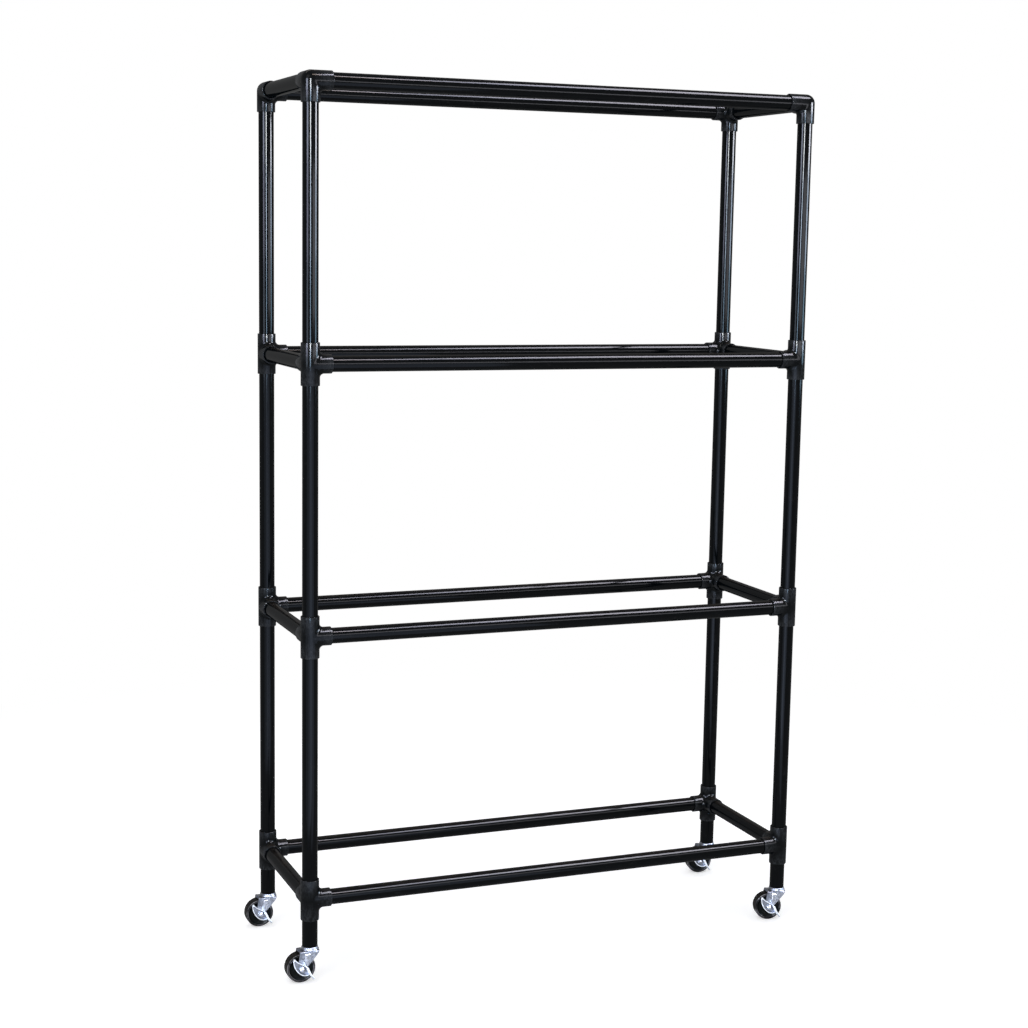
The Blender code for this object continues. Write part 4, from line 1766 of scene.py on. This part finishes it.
@dataclass
class Studio:
    """A pale floor, a white surround, soft lamps and the camera."""

    lens: float = 66.2145
    sensor: float = 36.0
    yaw: float = 21.9925
    pitch: float = -8.1925
    roll: float = 0.9451
    stand: tuple[float, float, float] = (-1.63397, -3.93852, 1.57838)
    floor_radius: float = 14.0
    floor_sides: int = 96
    floor_drop: float = 0.0002
    floor_fade: tuple[float, float] = (1.0, 2.6)
    floor_colour: Colour = (0.86, 0.86, 0.87)
    floor_lift: float = 0.47
    ambient: float = 0.75
    ambient_colour: Colour = (0.97, 0.98, 1.0)
    lamps: tuple[Softbox, ...] = (
        Softbox("key", -30, 35, 5.0, 2.4, 2.4, 3.0, (1.0, 0.99, 0.97), False),
        Softbox("left panel, high", -37, 12, 4.4, 1.5, 0.75, 64.0, (0.72, 0.79, 1.0)),
        Softbox("left panel, middle", -37, 4.5, 4.4, 1.5, 0.42, 37.0, (0.72, 0.75, 1.0)),
        Softbox("left panel, low", -37, -1.5, 4.4, 1.5, 0.50, 16.0, (0.66, 0.80, 1.0)),
        Softbox("front strip, high", 1, 12, 4.4, 0.70, 0.75, 253.0, (0.92, 0.97, 1.0)),
        Softbox("front strip, middle", 1, 4.5, 4.4, 0.70, 0.42, 160.0, (0.66, 0.80, 1.0)),
        Softbox("front strip, low", 1, -1.5, 4.4, 0.70, 0.50, 80.0, (0.50, 0.74, 1.0)),
        Softbox("right strip, high", 85, 12, 4.4, 1.7, 0.75, 153.0, (0.86, 0.90, 1.0)),
        Softbox("right strip, middle", 85, 4.5, 4.4, 1.7, 0.42, 82.0, (0.66, 0.80, 1.0)),
        Softbox("right strip, low", 85, -1.5, 4.4, 1.7, 0.50, 40.0, (0.48, 0.76, 1.0)),
        Softbox("bounce panel, wide", -12, -24, 1.9, 2.4, 1.3, 2.0, (0.62, 0.74, 1.0)),
        Softbox("bounce panel, narrow", -6, -24, 1.9, 1.2, 1.3, 2.4, (0.62, 0.74, 1.0)),
        Softbox("bounce panel, core", -3, -24, 1.9, 0.5, 1.3, 2.7, (0.66, 0.78, 1.0)),
        Softbox("bounce panel, right", 20, -30, 1.5, 0.9, 1.3, 3.2, (0.62, 0.74, 1.0)),
        Softbox("raised panel", 46, 5, 2.4, 1.9, 0.5, 13.3, (0.92, 0.92, 1.0)),
        Softbox("warm ceiling lamp", 39, 57, 8.0, 1.9, 1.2, 44.0, (1.0, 0.80, 0.67)),
        Softbox("cool ceiling lamp", 56, 57, 8.0, 1.7, 1.2, 75.0, (0.78, 0.80, 1.0)),
        Softbox("right-hand ceiling lamp", 83, 57, 8.0, 2.6, 2.6, 80.0, (0.90, 0.88, 1.0)),
        Softbox("ceiling lamp behind", 44, 122, 8.0, 5.0, 0.9, 12.0, (1.0, 0.92, 0.84)),
    )

    def middle(self) -> Vector:
        """The point on the floor midway between the four posts.

        Returns:
            That point.
        """
        low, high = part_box(f"leg_{Corner.FRONT_LEFT.value}")
        far_low, far_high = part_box(f"leg_{Corner.REAR_RIGHT.value}")
        centre = (low + high + far_low + far_high) / 4
        return Vector((centre.x, centre.y, 0))

    def camera(self) -> bpy.types.Object:
        """Stands the camera where the photograph was taken from.

        Returns:
            The camera.
        """
        yaw, pitch, roll = (math.radians(angle) for angle in (self.yaw, self.pitch, self.roll))
        forward = Vector((math.sin(yaw) * math.cos(pitch), math.cos(yaw) * math.cos(pitch), math.sin(pitch)))
        right = Vector((math.cos(yaw), -math.sin(yaw), 0))
        up = right.cross(forward)
        across = right * math.cos(roll) + up * math.sin(roll)
        upwards = up * math.cos(roll) - right * math.sin(roll)
        turned = Matrix((across, upwards, -forward)).transposed().to_4x4()
        data = bpy.data.cameras.new("camera")
        data.sensor_width = self.sensor
        data.lens = self.lens
        made = bpy.data.objects.new("camera", data)
        made.matrix_world = Matrix.Translation(self.middle() + Vector(self.stand)) @ turned
        bpy.context.scene.collection.objects.link(made)
        bpy.context.scene.camera = made
        return made

    def seen(self, tree: bpy.types.NodeTree) -> bpy.types.NodeSocket:
        """Tells the rays that show a surround from the rays that light by it.

        Args:
            tree: The node tree to work in.

        Returns:
            1 for camera, glossy and transmission rays, and otherwise 0.
        """
        path = add_node(tree, "LightPath", {})
        total = path.outputs["Is Camera Ray"]
        for name in ("Is Glossy Ray", "Is Transmission Ray"):
            total = add_node(tree, "Math", {0: total, 1: path.outputs[name]}, operation="MAXIMUM").outputs[0]
        return total

    def surround(self) -> None:
        """A white world that lights softly."""
        world = bpy.data.worlds.new("studio")
        world.use_nodes = True
        bpy.context.scene.world = world
        tree = world.node_tree
        light = tree.nodes["Background"]
        light.inputs["Color"].default_value = (*self.ambient_colour, 1.0)
        light.inputs["Strength"].default_value = self.ambient
        white = add_node(tree, "Background", {"Color": (1.0, 1.0, 1.0), "Strength": 1.0})
        shown = add_node(tree, "MixShader", {0: self.seen(tree), 1: light.outputs[0], 2: white.outputs[0]})
        tree.links.new(shown.outputs[0], tree.nodes["World Output"].inputs["Surface"])

    def floor_material(self) -> bpy.types.Material:
        """Pale floor that keeps the shadow near the rack and runs out into white.

        Returns:
            The material.
        """
        material = bpy.data.materials.new("pale floor")
        material.use_nodes = True
        tree = material.node_tree
        tree.nodes.remove(tree.nodes["Principled BSDF"])
        matt = add_node(tree, "BsdfDiffuse", {"Color": self.floor_colour}).outputs[0]
        lift = add_node(tree, "Emission", {"Strength": self.floor_lift}).outputs[0]
        lit = add_node(tree, "AddShader", {0: matt, 1: lift}).outputs[0]
        white = add_node(tree, "Emission", {}).outputs[0]
        place = add_node(tree, "TexCoord", {}).outputs["Object"]
        length = add_node(tree, "VectorMath", {0: place}, operation="LENGTH").outputs["Value"]
        reach = {0: length, 1: self.floor_fade[0], 2: self.floor_fade[1]}
        fade = add_node(tree, "MapRange", reach, interpolation_type="SMOOTHSTEP").outputs[0]
        far = add_node(tree, "MixShader", {0: fade, 1: lit, 2: white}).outputs[0]
        shown = add_node(tree, "MixShader", {0: self.seen(tree), 1: matt, 2: far}).outputs[0]
        tree.links.new(shown, tree.nodes["Material Output"].inputs["Surface"])
        return material

    def floor(self) -> bpy.types.Object:
        """Lays the floor just under the wheels.

        Returns:
            The floor.
        """
        bm = bmesh.new()
        bmesh.ops.create_circle(bm, cap_ends=True, segments=self.floor_sides, radius=self.floor_radius)
        bmesh.ops.translate(bm, vec=(0, 0, -self.floor_drop), verts=bm.verts)
        made = Form(bm).piece("floor", self.floor_material())
        return made

    def build(self) -> None:
        """Builds the studio round the rack."""
        bpy.context.scene.view_settings.view_transform = "Standard"
        self.surround()
        self.floor()
        self.camera()
        middle = self.middle()
        camera_bearing = math.degrees(math.atan2(self.stand[0], -self.stand[1]))
        for lamp in self.lamps:
            lamp.build(camera_bearing, middle)
            LOG.info("lamp %s", lamp.name)


def main() -> None:
    """Builds the rack and the studio."""
    logging.basicConfig(level=logging.INFO, format="%(message)s")
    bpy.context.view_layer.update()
    made = Rack().build()
    castor = Castor()
    for corner in Corner:
        made += castor.build(corner)
    for piece in made:
        LOG.info("piece %s, %d faces", piece.name, len(piece.data.polygons))
    Studio().build()


if __name__ == "__main__":
    main()
